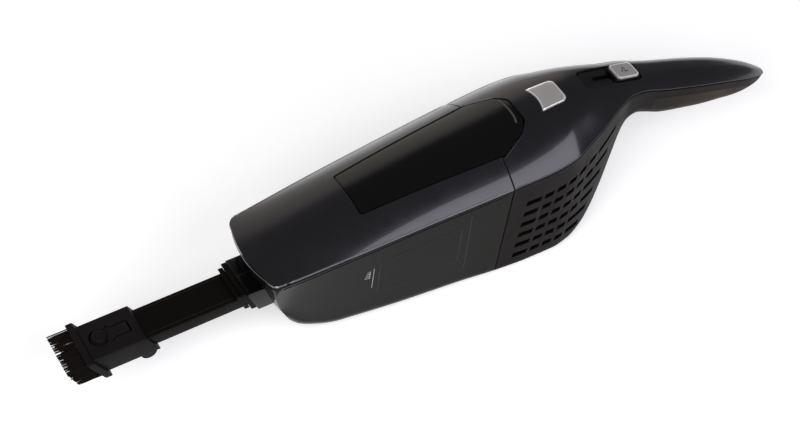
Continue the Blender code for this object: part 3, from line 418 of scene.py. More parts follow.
def seamPath(drop, outset, noseInset, lean):  # round the dust unit under the parting line
    near = [(x, -(sideY(x, at("ridgeZ", x) - drop) + outset)) for x in range(-4, -186, -4)]
    front = noseFront(noseInset)
    path = []
    for x, y in near + front + [(x, -y) for x, y in reversed(near)]:
        z = at("ridgeZ", x) - drop
        limit = sideY(x, z) + outset
        if x > -187 or abs(y) <= limit + 0.4:
            y = max(-limit, min(limit, y))
            shift = at("faceX", z) - nose["x"] if lean and x < -186 else 0.0
            path.append((x + shift, y, z))
    return path


def noiseMaterial(name, look):
    made = bpy.data.materials.new(name)
    made.use_nodes = True
    nodes, links = made.node_tree.nodes, made.node_tree.links
    shader = nodes["Principled BSDF"]
    place = nodes.new("ShaderNodeTexCoord")
    broad = nodes.new("ShaderNodeTexNoise")
    broad.inputs["Scale"].default_value = look.get("broad", 28)
    broad.inputs["Detail"].default_value = 4
    links.new(place.outputs["Object"], broad.inputs["Vector"])
    tint = nodes.new("ShaderNodeMix")
    tint.data_type = "RGBA"
    tint.inputs["A"].default_value = (*look["colour"], 1)
    tint.inputs["B"].default_value = (*look.get("second", [c * 1.35 for c in look["colour"]]), 1)
    links.new(broad.outputs["Fac"], tint.inputs["Factor"])
    # Lighter edges by pointiness, towards the worn colour: partly real edge wear, partly a painted edge
    # highlight.
    edgeWearAndHighlight = nodes.new("ShaderNodeNewGeometry")
    rim = nodes.new("ShaderNodeMapRange")
    rim.inputs["From Min"].default_value = 0.56
    rim.inputs["From Max"].default_value = 0.72
    rim.inputs["To Max"].default_value = look.get("edgeWearAndHighlight", 0.25)
    links.new(edgeWearAndHighlight.outputs["Pointiness"], rim.inputs["Value"])
    wornAndHighlightColour = nodes.new("ShaderNodeMix")
    wornAndHighlightColour.data_type = "RGBA"
    wornAndHighlightColour.inputs["B"].default_value = (*look.get("wornAndHighlightColour", [min(1, c * 2.6 + 0.02) for c in look["colour"]]), 1)
    links.new(rim.outputs["Result"], wornAndHighlightColour.inputs["Factor"])
    if "fadeX" in look:
        apart = nodes.new("ShaderNodeSeparateXYZ")
        links.new(place.outputs["Object"], apart.inputs[0])
        along = nodes.new("ShaderNodeMapRange")
        along.inputs["From Min"].default_value, along.inputs["From Max"].default_value = look["fadeX"]
        links.new(apart.outputs[0], along.inputs["Value"])
        fade = nodes.new("ShaderNodeMix")
        fade.data_type = "RGBA"
        fade.inputs["A"].default_value = (*look["fadeTo"], 1)
        links.new(along.outputs["Result"], fade.inputs["Factor"])
        links.new(tint.outputs["Result"], fade.inputs["B"])
        links.new(fade.outputs["Result"], wornAndHighlightColour.inputs["A"])
    else:
        links.new(tint.outputs["Result"], wornAndHighlightColour.inputs["A"])
    links.new(wornAndHighlightColour.outputs["Result"], shader.inputs["Base Color"])
    smear = nodes.new("ShaderNodeTexNoise")
    smear.inputs["Scale"].default_value = 60
    smear.inputs["Detail"].default_value = 5
    links.new(place.outputs["Object"], smear.inputs["Vector"])
    rough = nodes.new("ShaderNodeMapRange")
    rough.inputs["From Min"].default_value = 0.3
    rough.inputs["From Max"].default_value = 0.7
    rough.inputs["To Min"].default_value = look["rough"][0]
    rough.inputs["To Max"].default_value = look["rough"][1]
    links.new(smear.outputs["Fac"], rough.inputs["Value"])
    links.new(rough.outputs["Result"], shader.inputs["Roughness"])
    grain = nodes.new("ShaderNodeTexVoronoi" if look.get("cells") else "ShaderNodeTexNoise")
    grain.inputs["Scale"].default_value = look.get("grain", 1400)
    if not look.get("cells"):
        grain.inputs["Detail"].default_value = 3
    links.new(place.outputs["Object"], grain.inputs["Vector"])
    bump = nodes.new("ShaderNodeBump")
    bump.inputs["Strength"].default_value = look.get("bump", 0.1)
    bump.inputs["Distance"].default_value = look.get("depth", 0.0001)
    links.new(grain.outputs[0], bump.inputs["Height"])
    links.new(bump.outputs["Normal"], shader.inputs["Normal"])
    shader.inputs["Metallic"].default_value = look.get("metal", 0.0)
    shader.inputs["Coat Weight"].default_value = look.get("coat", 0.0)
    shader.inputs["Coat Roughness"].default_value = look.get("coatRough", 0.05)
    shader.inputs["Specular IOR Level"].default_value = look.get("specular", 0.5)
    shader.inputs["Specular Tint"].default_value = (*look.get("sheenTint", (1, 1, 1)), 1)
    shader.inputs["Alpha"].default_value = look.get("alpha", 1.0)
    return made


looks = {
    "violetGloss": {"colour": (0.0098, 0.0088, 0.0104), "second": (0.0125, 0.0112, 0.0134),
                    "rough": (0.2, 0.27), "coat": 0.4, "coatRough": 0.06, "specular": 0.36, "metal": 0.1,
                    "bump": 0.02, "edgeWearAndHighlight": 0.3, "wornAndHighlightColour": (0.09, 0.085, 0.095), "sheenTint": (0.94, 0.93, 1.0)},
    # A much lighter colour than the cover, for its lip bead: a painted highlight along the parting edge.
    "lipPaintedHighlight": {"colour": (0.095, 0.093, 0.101), "rough": (0.16, 0.22), "coat": 0.8, "coatRough": 0.05,
                 "specular": 0.6, "metal": 0.1, "bump": 0.01, "edgeWearAndHighlight": 0.0, "sheenTint": (0.94, 0.93, 1.0)},
    # Lighter than the shell, for the rear shell's edge lips: a painted highlight line.
    "shellEdgePaintedHighlight": {"colour": (0.026, 0.025, 0.028), "rough": (0.2, 0.27), "coat": 0.4, "coatRough": 0.06,
                  "specular": 0.36, "metal": 0.1, "bump": 0.01, "edgeWearAndHighlight": 0.0, "sheenTint": (0.94, 0.93, 1.0)},
    "smokyClear": {"colour": (0.0042, 0.0043, 0.0034), "second": (0.0062, 0.0063, 0.0050),
                   "rough": (0.14, 0.2), "specular": 0.05, "bump": 0.02, "alpha": 0.98, "edgeWearAndHighlight": 0.2,
                   "wornAndHighlightColour": (0.03, 0.03, 0.026), "sheenTint": (1.0, 1.0, 0.93)},
    "faintLine": {"colour": (0.012, 0.012, 0.010), "rough": (0.3, 0.4), "specular": 0.2, "bump": 0.02},
    "darkWindow": {"colour": (0.0008, 0.0008, 0.0006), "rough": (0.1, 0.14), "specular": 0.5, "bump": 0.01,
                   "edgeWearAndHighlight": 0.0, "alpha": 0.98},
    # Light grey for the window's rib: a painted highlight on the dark window.
    "ribPaintedHighlight": {"colour": (0.060, 0.061, 0.057), "rough": (0.2, 0.3), "specular": 0.4, "bump": 0.01,
                "edgeWearAndHighlight": 0.0},
    "brownMatte": {"colour": (0.0042, 0.0030, 0.0026), "second": (0.0058, 0.0043, 0.0037),
                   "rough": (0.44, 0.54), "specular": 0.06, "grain": 2600, "bump": 0.35, "depth": 0.00008,
                   "edgeWearAndHighlight": 0.45, "wornAndHighlightColour": (0.05, 0.042, 0.037), "sheenTint": (1.0, 0.88, 0.80)},
    "softGrip": {"colour": (0.0270, 0.0190, 0.0135), "rough": (0.46, 0.56), "specular": 0.08, "grain": 3000,
                 "bump": 0.4, "depth": 0.0001, "edgeWearAndHighlight": 0.0, "fadeX": (0.150, 0.215),
                 "fadeTo": (0.0050, 0.0037, 0.0031), "sheenTint": (1.0, 0.88, 0.80)},
    "silver": {"colour": (0.50, 0.475, 0.46), "second": (0.56, 0.535, 0.52), "rough": (0.32, 0.42),
               "metal": 0.5, "grain": 4200, "bump": 0.15, "depth": 0.00004, "edgeWearAndHighlight": 0.9,
               "wornAndHighlightColour": (0.8, 0.79, 0.78)},
    # Near white, for the beads round the button and slider cap: a painted edge highlight.
    "edgePaintedHighlight": {"colour": (0.90, 0.89, 0.88), "rough": (0.25, 0.35), "metal": 0.6, "bump": 0.05,
                   "edgeWearAndHighlight": 0.0},
    "blackGloss": {"colour": (0.002, 0.002, 0.0022), "rough": (0.12, 0.18), "specular": 0.35, "bump": 0.02,
                   "edgeWearAndHighlight": 0.3, "wornAndHighlightColour": (0.04, 0.04, 0.04)},
    "blackPlastic": {"colour": (0.0036, 0.0026, 0.0019), "second": (0.0050, 0.0038, 0.0028),
                     "rough": (0.34, 0.46), "specular": 0.07, "grain": 2200, "bump": 0.25, "depth": 0.00006,
                     "edgeWearAndHighlight": 0.5, "wornAndHighlightColour": (0.04, 0.036, 0.032)},
    "sleevePlastic": {"colour": (0.0074, 0.0064, 0.0064), "second": (0.0098, 0.0086, 0.0086),
                      "rough": (0.42, 0.55), "specular": 0.08, "grain": 2200, "bump": 0.3, "depth": 0.00006,
                      "edgeWearAndHighlight": 0.5, "wornAndHighlightColour": (0.05, 0.045, 0.045)},
    "bristle": {"colour": (0.0010, 0.0007, 0.0005), "second": (0.0130, 0.0085, 0.0060), "rough": (0.5, 0.65),
                "specular": 0.05, "broad": 420, "bump": 0.1, "edgeWearAndHighlight": 0.0},
    "rubber": {"colour": (0.010, 0.010, 0.010), "rough": (0.7, 0.85), "bump": 0.3},
    "paper": {"colour": (0.55, 0.55, 0.51), "second": (0.62, 0.62, 0.58), "rough": (0.85, 0.95), "bump": 0.5},
    "steel": {"colour": (0.42, 0.42, 0.43), "rough": (0.25, 0.4), "metal": 0.9, "bump": 0.1},
    "fanGrey": {"colour": (0.16, 0.16, 0.165), "rough": (0.4, 0.55), "bump": 0.2},
    "cell": {"colour": (0.02, 0.15, 0.11), "rough": (0.25, 0.35), "bump": 0.05},
    "board": {"colour": (0.004, 0.03, 0.012), "rough": (0.35, 0.5), "specular": 0.2, "bump": 0.1},
    "foam": {"colour": (0.004, 0.004, 0.0045), "rough": (0.9, 1.0), "specular": 0.1, "cells": True,
             "grain": 900, "bump": 0.9, "depth": 0.0006, "edgeWearAndHighlight": 0.0},
    "ink": {"colour": (0.36, 0.36, 0.36), "rough": (0.4, 0.5), "bump": 0.05, "edgeWearAndHighlight": 0.0},
}
mat = {name: noiseMaterial(name, look) for name, look in looks.items()}
print("materials")

# CAD pieces that stay as they are get the detailed materials.
kept = {
    "rubber": ["inlet_flap", "intake_seal", "motor_ring"],
    "blackPlastic": ["flap_hinge_rail", "battery_tray", "latch_bracket", "latch_lever", "motor_cradle",
                     "slide_switch"],
    "fanGrey": ["filter_frame", "filter_pull_tab", "fan_housing", "impeller"],
    "steel": ["filter_screen", "motor_shaft", "motor_can", "latch_pin", "handle_screw_1",
              "handle_screw_2", "belly_screw_1", "belly_screw_2"],
    "paper": ["filter_pleats"],
    "brownMatte": ["bulkhead"],
    "blackGloss": ["charging_socket"],
    "foam": ["exhaust_foam_left", "exhaust_foam_right"],
    "cell": ["battery_cell_1", "battery_cell_2", "battery_cell_3", "battery_cell_4"],
    "board": ["circuit_board"],
}
for look, names in kept.items():
    for name in names:
        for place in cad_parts[name].material_slots:
            place.material = mat[look]

# Dust unit.
cover = crownShell("coverShell", -207, 9, -0.5, wall, nosePlate)
boolean(cover, ridgeRegion("dust", 200, -seamLift), "INTERSECT")
boolean(cover, plate("hole", windowOutline(0.0), "Z", 60, 160))
dress(cover, mat["violetGloss"], "dust_unit", ["top_cover"], weighted=True)
# The cover's lip bead, painted light: a painted highlight along the parting edge.
lip = sweep("coverLip", seamPath(-0.55, -0.12, 0.5, False), 0.75)
dress(lip, mat["lipPaintedHighlight"], "dust_unit", ())
print("cover")

tub = crownShell("containerShell", -207, 9, 0.0, wall, leaningNose)
boolean(tub, ridgeRegion("dust", -20, 1.5), "INTERSECT")
boolean(tub, box("portHole", (-215, -20.1, 54.3), (-160, 20.1, 76.2)))
dress(tub, mat["smokyClear"], "dust_unit", ["dust_container"], weighted=True)
print("container")

panel = crownShell("windowGlass", -125, 40, 0.2, wall)
boolean(panel, plate("plan", windowOutline(0.95), "Z", 90, 160), "INTERSECT")
boolean(panel, box("catch", (27.0, -5, 126.6), (29.6, 5, 132.6)), "UNION")
dress(panel, mat["darkWindow"], "dust_unit", ["window_panel"], weighted=True)
print("window")

# Raised lines on the container's flanks, its rim bead and the fill mark.
def flankPath(corners, outset, side, pitch=3.0):
    path = []
    for (x0, z0), (x1, z1) in zip(corners, corners[1:]):
        steps = max(1, round(math.hypot(x1 - x0, z1 - z0) / pitch))
        for k in range(steps):
            x, z = x0 + (x1 - x0) * k / steps, z0 + (z1 - z0) * k / steps
            path.append((x, side * (sideY(x, z) + outset), z))
    x, z = corners[-1]
    return path + [(x, side * (sideY(x, z) + outset), z)]


flank = {
    "frame": [(-41, 40), (-41, 84), (-108, 78.5), (-108, 36), (-41, 40)],
    "strip": [(-34, 28), (-34, 94)],
}
rim = sweep("containerRim", seamPath(4.6, 0.0, -0.1, True), 0.42)
dress(rim, mat["smokyClear"], "dust_unit", ())
lines = []
for side in (-1, 1):
    for corners in flank.values():
        lines.append(sweep("line", flankPath(corners, -0.08, side), 0.3))
flankLines = join("flankLines", lines)
dress(flankLines, mat["faintLine"], "dust_unit", ())

marks = []
for side in (-1, 1):
    marks.append(sweep("level", flankPath([(-113, 45), (-113, 72)], 0.02, side), 0.22))
    marks.append(sweep("level", flankPath([(-116, 60), (-116, 70)], 0.02, side), 0.22))
    for k in range(4):
        z = 61 + 2.6 * k
        marks.append(sweep("tick", flankPath([(-120 + 0.5 * k, z), (-116, z)], 0.02, side, 1.0), 0.22))
fill = join("fillMark", marks)
dress(fill, mat["ink"], "dust_unit", ())

# A rib by the window's rear edge, painted light grey: a painted highlight.
rib = crownBead("windowRib", [(24.6, -11.5), (26.0, -6), (26.6, 2), (26.2, 10), (25.2, 15.5)], 0.8, -0.15)
dress(rib, mat["ribPaintedHighlight"], "dust_unit", ())

rimLine = windowOutline(-0.55)
cornerPoints = 7  # points on each rounded corner of the window
nearCorner, farCorner = rimLine[:cornerPoints], rimLine[-cornerPoints:]
frontRim = [(-1.7, -30.6)] + nearCorner[::-1] + farCorner[::-1] + [(-1.7, 30.6)]
windowRim = crownBead("windowRim", frontRim, 0.42, -0.1)
dress(windowRim, mat["violetGloss"], "dust_unit", ())

port = {"x": -207.3, "y": 19.8, "z": (54.6, 75.0), "lean": 0.39, "rear": -176.0}
tube = {"y": 14.8, "z": (58.6, 69.3), "tip": -331.0, "end": -184.0, "wall": 1.6,
        "railX": (-286, -216), "railY": 11.6, "railZ": (69.0, 69.5), "railHalf": 0.35}
brush = {"y": 17.7, "z": (54.9, 73.2), "front": -330.0, "rear": -287.6, "lean": 0.55,
         "flangeY": 21.5, "flangeZ": (53.0, 75.0), "flange": 5.4, "overlap": 0.8,
         "footX": -286, "footY": 15, "footZ": 53, "footRadius": 6.5}
flangeFront = brush["front"] - brush["flange"] + brush["overlap"]
flangeRear = brush["front"] + brush["overlap"]
boreZ = (tube["z"][0] - gap, tube["z"][1] + gap)

spout = leaningBlock("nozzleSpout", port["x"], port["rear"], port["y"], port["z"], 1.5, port["lean"], 0)
bevelled(spout, 0.4)
step = leaningBlock("step", port["x"] + 3.2, -194.5, port["y"] - 1.4, (74.0, 75.7), 0.6, port["lean"], 0.2)
boolean(spout, step, "UNION")
pad = leaningBlock("pad", port["x"] + 0.6, -193, 10.6, (73, 75.9), 0.5, port["lean"], 0)
pad.data.transform(Matrix.Translation((0, -9.0 * mm, 0)))
boolean(spout, pad, "UNION")
boolean(spout, leaningBlock("bore", -230, -150, tube["y"] + gap, boreZ, 1.2, 0, 0))
dress(spout, mat["blackGloss"], "dust_unit", ["nozzle_port"])

# Crevice tool.
stick = leaningBlock("toolTube", tube["tip"], tube["end"], tube["y"], tube["z"], 1.0, brush["lean"], 0)
collar = leaningBlock("collar", -211.8, port["x"] - gap, 18.0, (56.0, 75.6), 1.2, port["lean"],
                      port["lean"])
bevelled(collar, 0.5)
boolean(stick, collar, "UNION")
ridgeBand = leaningBlock("band", -215.2, -211.6, 16.2, (57.0, 73.6), 1.0, port["lean"], port["lean"])
boolean(stick, ridgeBand, "UNION")
innerZ = (tube["z"][0] + tube["wall"], tube["z"][1] - tube["wall"])
boolean(stick, leaningBlock("bore", -360, -170, tube["y"] - tube["wall"], innerZ, 0.6, 0, 0))
for side in (-1, 1):
    railLow = (tube["railX"][0], side * tube["railY"] - tube["railHalf"], tube["railZ"][0])
    railHigh = (tube["railX"][1], side * tube["railY"] + tube["railHalf"], tube["railZ"][1])
    boolean(stick, box("rail", railLow, railHigh), "UNION")
dress(stick, mat["blackPlastic"], "crevice_tool", ["crevice_tube"])
print("tool")


catch = {"x": -316.5, "radius": 7.8, "half": 5.8, "flare": 8.2, "tailX": (-309.0, -306.0, -293.0),
         "gap": 1.25, "z": (71.2, 72.9), "knobTop": 75.6}


def latchOutline(inset):
    radius, half, flare = catch["radius"] - inset, catch["half"] - inset, catch["flare"] - inset
    first, second, third = catch["tailX"]
    ring = []
    for k in range(33):
        angle = math.radians(46 + 268 * k / 32)
        ring.append((catch["x"] + radius * math.cos(angle), radius * math.sin(angle)))
    tail = [(first, -flare), (second, -half), (third - inset, -half)]
    return ring + tail + [(x, -y) for x, y in reversed(tail)]


sleeve = leaningBlock("brushSleeve", brush["front"], brush["rear"], brush["y"], brush["z"], 1.6,
                      brush["lean"], brush["lean"])
bevelled(sleeve, 0.5)
flange = leaningBlock("flange", flangeFront, flangeRear, brush["flangeY"], brush["flangeZ"], 1.4,
                      brush["lean"], brush["lean"])
bevelled(flange, 0.6)
boolean(sleeve, flange, "UNION")
footStart = (brush["footX"], -brush["footY"], brush["footZ"])
foot = rod("foot", footStart, (brush["footX"], brush["footY"], brush["footZ"]), brush["footRadius"])
bevelled(foot, 1.0)
boolean(sleeve, foot, "UNION")
boolean(sleeve, leaningBlock("bore", -360, -250, tube["y"] + gap, boreZ, 1.0, 0, 0))
boolean(sleeve, plate("seat", latchOutline(0.0), "Z", 69.0, 90))
dress(sleeve, mat["sleevePlastic"], "dusting_brush", ["brush_sleeve"])

tongue = plate("brushTongue", latchOutline(catch["gap"]), "Z", *catch["z"])
knob = rod("knob", (catch["x"], 0, 72.0), (catch["x"], 0, catch["knobTop"]), 6.1, 56, 5.5)
bevelled(knob, 0.5)
boolean(tongue, knob, "UNION")
boolean(tongue, rod("dish", (catch["x"], 0, 75.2), (catch["x"], 0, 78), 3.6, 48, 6.0))
dress(tongue, mat["sleevePlastic"], "brush_catch", ["brush_latch"])


def strand(bm, root, tip, radius):
    line = tip - root
    across = line.cross(Vector((0, 0, 1))).normalized()
    other = line.cross(across).normalized()
    loops = []
    for share, scale in ((0, 1.0), (0.7, 0.95), (1, 0.55)):
        middle = root + line * share
        ring = []
        for k in range(4):
            angle = math.pi * k / 2
            out = across * math.cos(angle) + other * math.sin(angle)
            ring.append(bm.verts.new(middle + out * radius * scale))
        loops.append(ring)
    for one, two in zip(loops, loops[1:]):
        for k in range(4):
            bm.faces.new((one[k], one[(k + 1) % 4], two[(k + 1) % 4], two[k]))
    bm.faces.new(loops[0])
    bm.faces.new(loops[-1])


bristle = {"length": 17.2, "radius": 0.28, "perTuft": 8, "pitch": 2.3, "seed": 7, "y": 18.7,
           "z": (55.5, 72.7), "lean": 0.42, "spread": 0.34, "sunk": 0.05, "clear": 0.7,
           "mostX": -349.6, "mostY": 19.1, "mostZ": (55.1, 73.1)}
chance = random.Random(bristle["seed"])
rootX = flangeFront - bristle["sunk"]
lowClear, highClear = tube["z"][0] - bristle["clear"], tube["z"][1] + bristle["clear"]
roots = []
for ringNumber in range(2):
    halfY = bristle["y"] - 1.5 * ringNumber
    low, high = bristle["z"][0] + 1.45 * ringNumber, bristle["z"][1] - 1.45 * ringNumber
    across = round(2 * halfY / bristle["pitch"])
    upright = round((high - low) / bristle["pitch"])
    for k in range(across + 1):
        y = -halfY + 2 * halfY * k / across
        roots += [(y, low), (y, high)]
    for k in range(1, upright):
        z = low + (high - low) * k / upright
        roots += [(-halfY, z), (halfY, z)]
hair = bmesh.new()
for y, z in roots:
    tuftLength = bristle["length"] * chance.uniform(0.95, 1.0)
    sway = (chance.gauss(0, 0.25), chance.gauss(0, 0.25))
    for k in range(bristle["perTuft"]):
        oneY = y + chance.gauss(0, bristle["spread"])
        oneZ = z + chance.gauss(0, bristle["spread"])
        oneY = max(-bristle["mostY"], min(bristle["mostY"], oneY))
        oneZ = max(bristle["mostZ"][0], min(bristle["mostZ"][1], oneZ))
        if abs(oneY) < tube["y"] + bristle["clear"] and lowClear < oneZ < highClear:
            continue
        down = brush["flangeZ"][1] - oneZ
        start = rootX + brush["lean"] * down
        tipX = rootX - tuftLength * chance.uniform(0.96, 1.0) + bristle["lean"] * down
        tipY = oneY + sway[0] + chance.gauss(0, 0.2)
        tipZ = oneZ + sway[1] + chance.gauss(0, 0.2)
        root, tip = Vector((start, oneY, oneZ)), Vector((max(tipX, bristle["mostX"]), tipY, tipZ))
        strand(hair, root * mm, tip * mm, bristle["radius"] * mm)
hairs = link("brushBristles", hair)
dress(hairs, mat["bristle"], "dusting_brush", ["bristle_ring"], 60)
print("brush")

# Motor unit.
track = {"x": (89.8, 142.2), "y": 10.6, "top": 128.0, "tilt": math.radians(14.4)}
handleScrews = [(172, 70.0), (228, 55.6)]
bellyScrews = [(18, -24), (18, 24)]
socketAxis = Vector((0.928, 0, -0.371))
socketPoint = Vector((104.6, 0, 43.4))


button = {"x": (46.0, 69.8), "half": 12.7, "lip": 1.2, "hollow": 2.3, "lift": 0.5, "play": 0.4}


def buttonOutline(inset):
    front, rear, half = button["x"][0] + inset, button["x"][1] - inset, button["half"] - inset
    hollow = []
    for k in range(-8, 9):
        hollow.append((front + button["lip"] + button["hollow"] * (1 - (k / 8) ** 2), half * k / 8))
    rearEnds = [(front + 8, half), (rear, half - 0.8), (rear, -half + 0.8), (front + 8, -half)]
    tail = roundedOutline(rearEnds, [0, 4, 4, 0], 8)
    return hollow + tail[1:-1]


def trackOutline(inset):
    front, rear, half = track["x"][0] + inset, track["x"][1] - inset, track["y"] - inset
    return roundedOutline([(front, -half), (rear, -half), (rear, half), (front, half)], 5.0, 8)


def onTrack(part):
    middle = Matrix.Translation((sum(track["x"]) / 2 * mm, 0, track["top"] * mm))
    part.data.transform(middle @ Matrix.Rotation(track["tilt"], 4, "Y"))
    return part


def localPlate(name, xRange, half, radius, low, high):
    corners = [(xRange[0], -half), (xRange[1], -half), (xRange[1], half), (xRange[0], half)]
    return plate(name, roundedOutline(corners, radius, 8), "Z", low, high)


shell = crownShell("rearShell", -9, tailX, 0.0, wall)
boolean(shell, ridgeRegion("motor", 200, -seamLift), "INTERSECT")
boolean(shell, plate("notch", windowOutline(-0.2), "Z", 60, 160))
boolean(shell, plate("buttonHole", buttonOutline(-button["play"]), "Z", 122, 160))
boolean(shell, plate("trackHole", trackOutline(0.0), "Z", 118, 160))
dress(shell, mat["violetGloss"], "motor_unit", ["rear_upper_shell"], weighted=True)
notchRim = crownBead("notchRim", rimLine[cornerPoints:-cornerPoints], 0.42, -0.1)
dress(notchRim, mat["violetGloss"], "motor_unit", ())
# A dark rubber backing and bead behind the gap between cover and rear shell, darkening the seam line: painted
# shade in the gap.
seamShadeBacking = bodySolid("seamShadeSkirt", -8, 6, 2.5, 7)
bead = bodySolid("bead", -0.45, 0.45, 1.1)
lean = Matrix(((1, 0, jointLean, -jointLean * jointZ * mm), (0, 1, 0, 0), (0, 0, 1, 0), (0, 0, 0, 1)))
bead.data.transform(lean)  # as the joint plane leans
boolean(seamShadeBacking, bead, "UNION")
boolean(seamShadeBacking, bodySolid("inside", -12, 10, 3.5, 7))
dress(seamShadeBacking, mat["rubber"], "motor_unit", ())
# Lips along the rear shell's lower edges, painted lighter than the shell: a painted highlight line.
shellLips = []
for side in (-1, 1):
    edge = []
    for x in range(2, 262, 3):
        z = at("ridgeZ", x) + 0.4
        edge.append((x, side * (sideY(x, z) - 0.2), z))
    shellLips.append(sweep("shellLip", edge, 0.38))
dress(join("shellLip", shellLips), mat["shellEdgePaintedHighlight"], "motor_unit", ())
print("rear shell")

vents = {"rows": 6, "pitch": 13.0, "top": 83.5, "height": 5.4, "rise": 17.0, "first": 13.0, "next": 8.2,
         "rib": 3.0, "slant": 1, "start": 13.2, "startStep": 0.95, "end": 107.0, "endStep": 6.8}


def ventSlots():
    half, slant = vents["height"] / 2, vents["slant"]
    bm = bmesh.new()
    for row in range(vents["rows"]):
        x, xEnd = vents["start"] - vents["startStep"] * row, vents["end"] - vents["endStep"] * row
        rise = vents["rise"] * (1 - row / 5) ** 1.6
        length = vents["first"]
        while x < xEnd - 8:
            if x + length + 16.0 > xEnd and length < vents["first"]:
                length = xEnd - x
            ends = [(0, -half), (length, -half), (length + slant, half), (slant, half)]
            for side in (-70, 10):
                loops = []
                for y in (side, side + 60):
                    ring = []
                    for u, v in roundedOutline(ends, 0.35, 2):
                        share = max(0.0, (x + u - 12) / 95)
                        z = vents["top"] - vents["pitch"] * row + rise * share ** 2.2 + v
                        ring.append(bm.verts.new(Vector((x + u, y, z)) * mm))
                    loops.append(ring)
                bm.faces.new(loops[0])
                bm.faces.new(loops[1])
                for k in range(len(ring)):
                    bm.faces.new((loops[0][k], loops[0][k - 1], loops[1][k - 1], loops[1][k]))
            x += length + vents["rib"]
            length = vents["next"]
    return link("slots", bm)


def screwHoles(part):
    for x, z in handleScrews:
        boolean(part, rod("head", (x, 0, z - 14), (x, 0, z + 3.0), 3.1, 32))


housing = crownShell("ventHousing", -9, tailX, 0.0, wall)
boolean(housing, ridgeRegion("motor", -20, 1.2), "INTERSECT")
boolean(housing, ventSlots())
boolean(housing, rod("jackHole", socketPoint + socketAxis * 8, socketPoint - socketAxis * 18, 5.3))
screwHoles(housing)
for x, y in bellyScrews:
    boolean(housing, rod("head", (x, y, -4), (x, y, 3.2), 3.1, 32))


gripArea = {"x": (148, 254), "drop": 9.0, "depth": 1.0}


def gripSolid(name, depth, inset, outset):
    front, rear = gripArea["x"]
    skin = bodySolid(name, front - 10, rear + 10, outset)
    boolean(skin, bodySolid("core", front - 14, rear + 14, depth))
    line = [(x, at("ridgeZ", x) - gripArea["drop"] - inset) for x in range(front, rear + 1, 3)]
    line[0] = (front + inset, line[0][1] - 6)
    line[-1] = (rear - inset, line[-1][1])
    region = plate("region", [(rear - inset, 20), (front + inset, 20)] + line, "Y", -40, 40)
    return boolean(skin, region, "INTERSECT")


boolean(housing, gripSolid("seat", gripArea["depth"] + gap, 0.0, -0.8))
dress(housing, mat["brownMatte"], "motor_unit", ["lower_housing"], weighted=True)
grip = gripSolid("gripSkin", gripArea["depth"], gap, 0.0)
screwHoles(grip)
dress(grip, mat["softGrip"], "motor_unit", ["grip_panel"], weighted=True)
print("housing")

key = bodySolid("releaseKey", 40, 78, -button["lift"], 2.0)
boolean(key, bodySolid("under", 36, 82, 1.6))
boolean(key, plate("plan", buttonOutline(0.0), "Z", 100, 160), "INTERSECT")
bevelled(key, 0.6, 3, 50)
boolean(key, rod("stem", (58, 0, 126.0), (58, 0, 136.0), 2.6, 32), "UNION")
dress(key, mat["silver"], "button", ["release_button"])
# A near-white bead round the button's top edge: a painted edge highlight.
keyRim = crownBead("keyRim", buttonOutline(0.75), 0.5, -0.14, True, -button["lift"], 1.5)
dress(keyRim, mat["edgePaintedHighlight"], "button", ())

halfTrack = (track["x"][1] - track["x"][0]) / 2
bed = onTrack(localPlate("trackBed", (-halfTrack + 0.6, halfTrack - 0.2), 10.0, 4.6, -1.6, 0.0))
boolean(bed, onTrack(localPlate("way", (-16, 17), 2.0, 1.9, -4, 3)))
dress(bed, mat["blackGloss"], "motor_unit", ["switch_track"])

sled = localPlate("sliderSled", (0.8, 25.2), 9.3, 4.0, 0.3, 2.0)
bevelled(sled, 0.4)
boolean(sled, localPlate("stem", (11.5, 15.5), 1.5, 0.5, -4.6, 1.0), "UNION")
dress(onTrack(sled), mat["blackGloss"], "power_slider", ["slider_base"])

cap = localPlate("sliderTop", (2.9, 23.6), 8.2, 3.2, 2.3, 4.0)
bevelled(cap, 0.7, 4)
dress(onTrack(cap), mat["silver"], "power_slider", ["slider_cap"])
# A near-white bead round the slider cap's top edge: a painted edge highlight.
capCorners = [(3.6, -7.5), (22.9, -7.5), (22.9, 7.5), (3.6, 7.5)]
capLine = [(x, y, 3.9) for x, y in roundedOutline(capCorners, 2.6, 8)]
dress(onTrack(sweep("capRim", capLine, 0.42, True)), mat["edgePaintedHighlight"], "power_slider", ())

petals = []
for k in range(3):
    angle = 2 * math.pi * k / 3 + 0.4
    blade = []
    for j in range(9):
        t = j / 8
        reach, swing = 0.9 + 2.2 * t, angle + 1.3 * t
        blade.append((13.2 + reach * math.cos(swing), reach * math.sin(swing), 4.02))
    petals.append(sweep("petal", blade, 0.34))
fan = join("sliderFanMark", petals)
dress(onTrack(fan), mat["blackPlastic"], "power_slider", ())
print("controls")

coil = {"x": 56.0, "z": (118.9, 122.4), "radius": 3.0, "wire": 0.35, "turns": 4, "pointsPerTurn": 20}
turns = coil["turns"] * coil["pointsPerTurn"]
helix = []
for k in range(turns + 1):
    angle = 2 * math.pi * k / coil["pointsPerTurn"]
    z = coil["z"][0] + (coil["z"][1] - coil["z"][0]) * k / turns
    helix.append((coil["x"] + coil["radius"] * math.cos(angle), coil["radius"] * math.sin(angle), z))
spring = sweep("latchCoil", helix, coil["wire"])
dress(spring, mat["steel"], "motor_unit", ["latch_spring"])
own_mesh(spring)  # the lever presses it
print("spring")

# Floor, lights and camera.
floorMesh = bmesh.new()
bmesh.ops.create_grid(floorMesh, x_segments=4, y_segments=4, size=6.0)
floor = link("studioFloor", floorMesh)
floor.location = (0, 0, -0.0004)
floorLook = noiseMaterial("paleFloor", {"colour": (0.86, 0.86, 0.86), "second": (0.88, 0.88, 0.88),
                                        "rough": (0.8, 0.9), "bump": 0.02, "edgeWearAndHighlight": 0.0})
floorLook.node_tree.nodes["Principled BSDF"].inputs["Emission Color"].default_value = (1, 1, 1, 1)
floorLook.node_tree.nodes["Principled BSDF"].inputs["Emission Strength"].default_value = 0.46
floor.data.materials.append(floorLook)

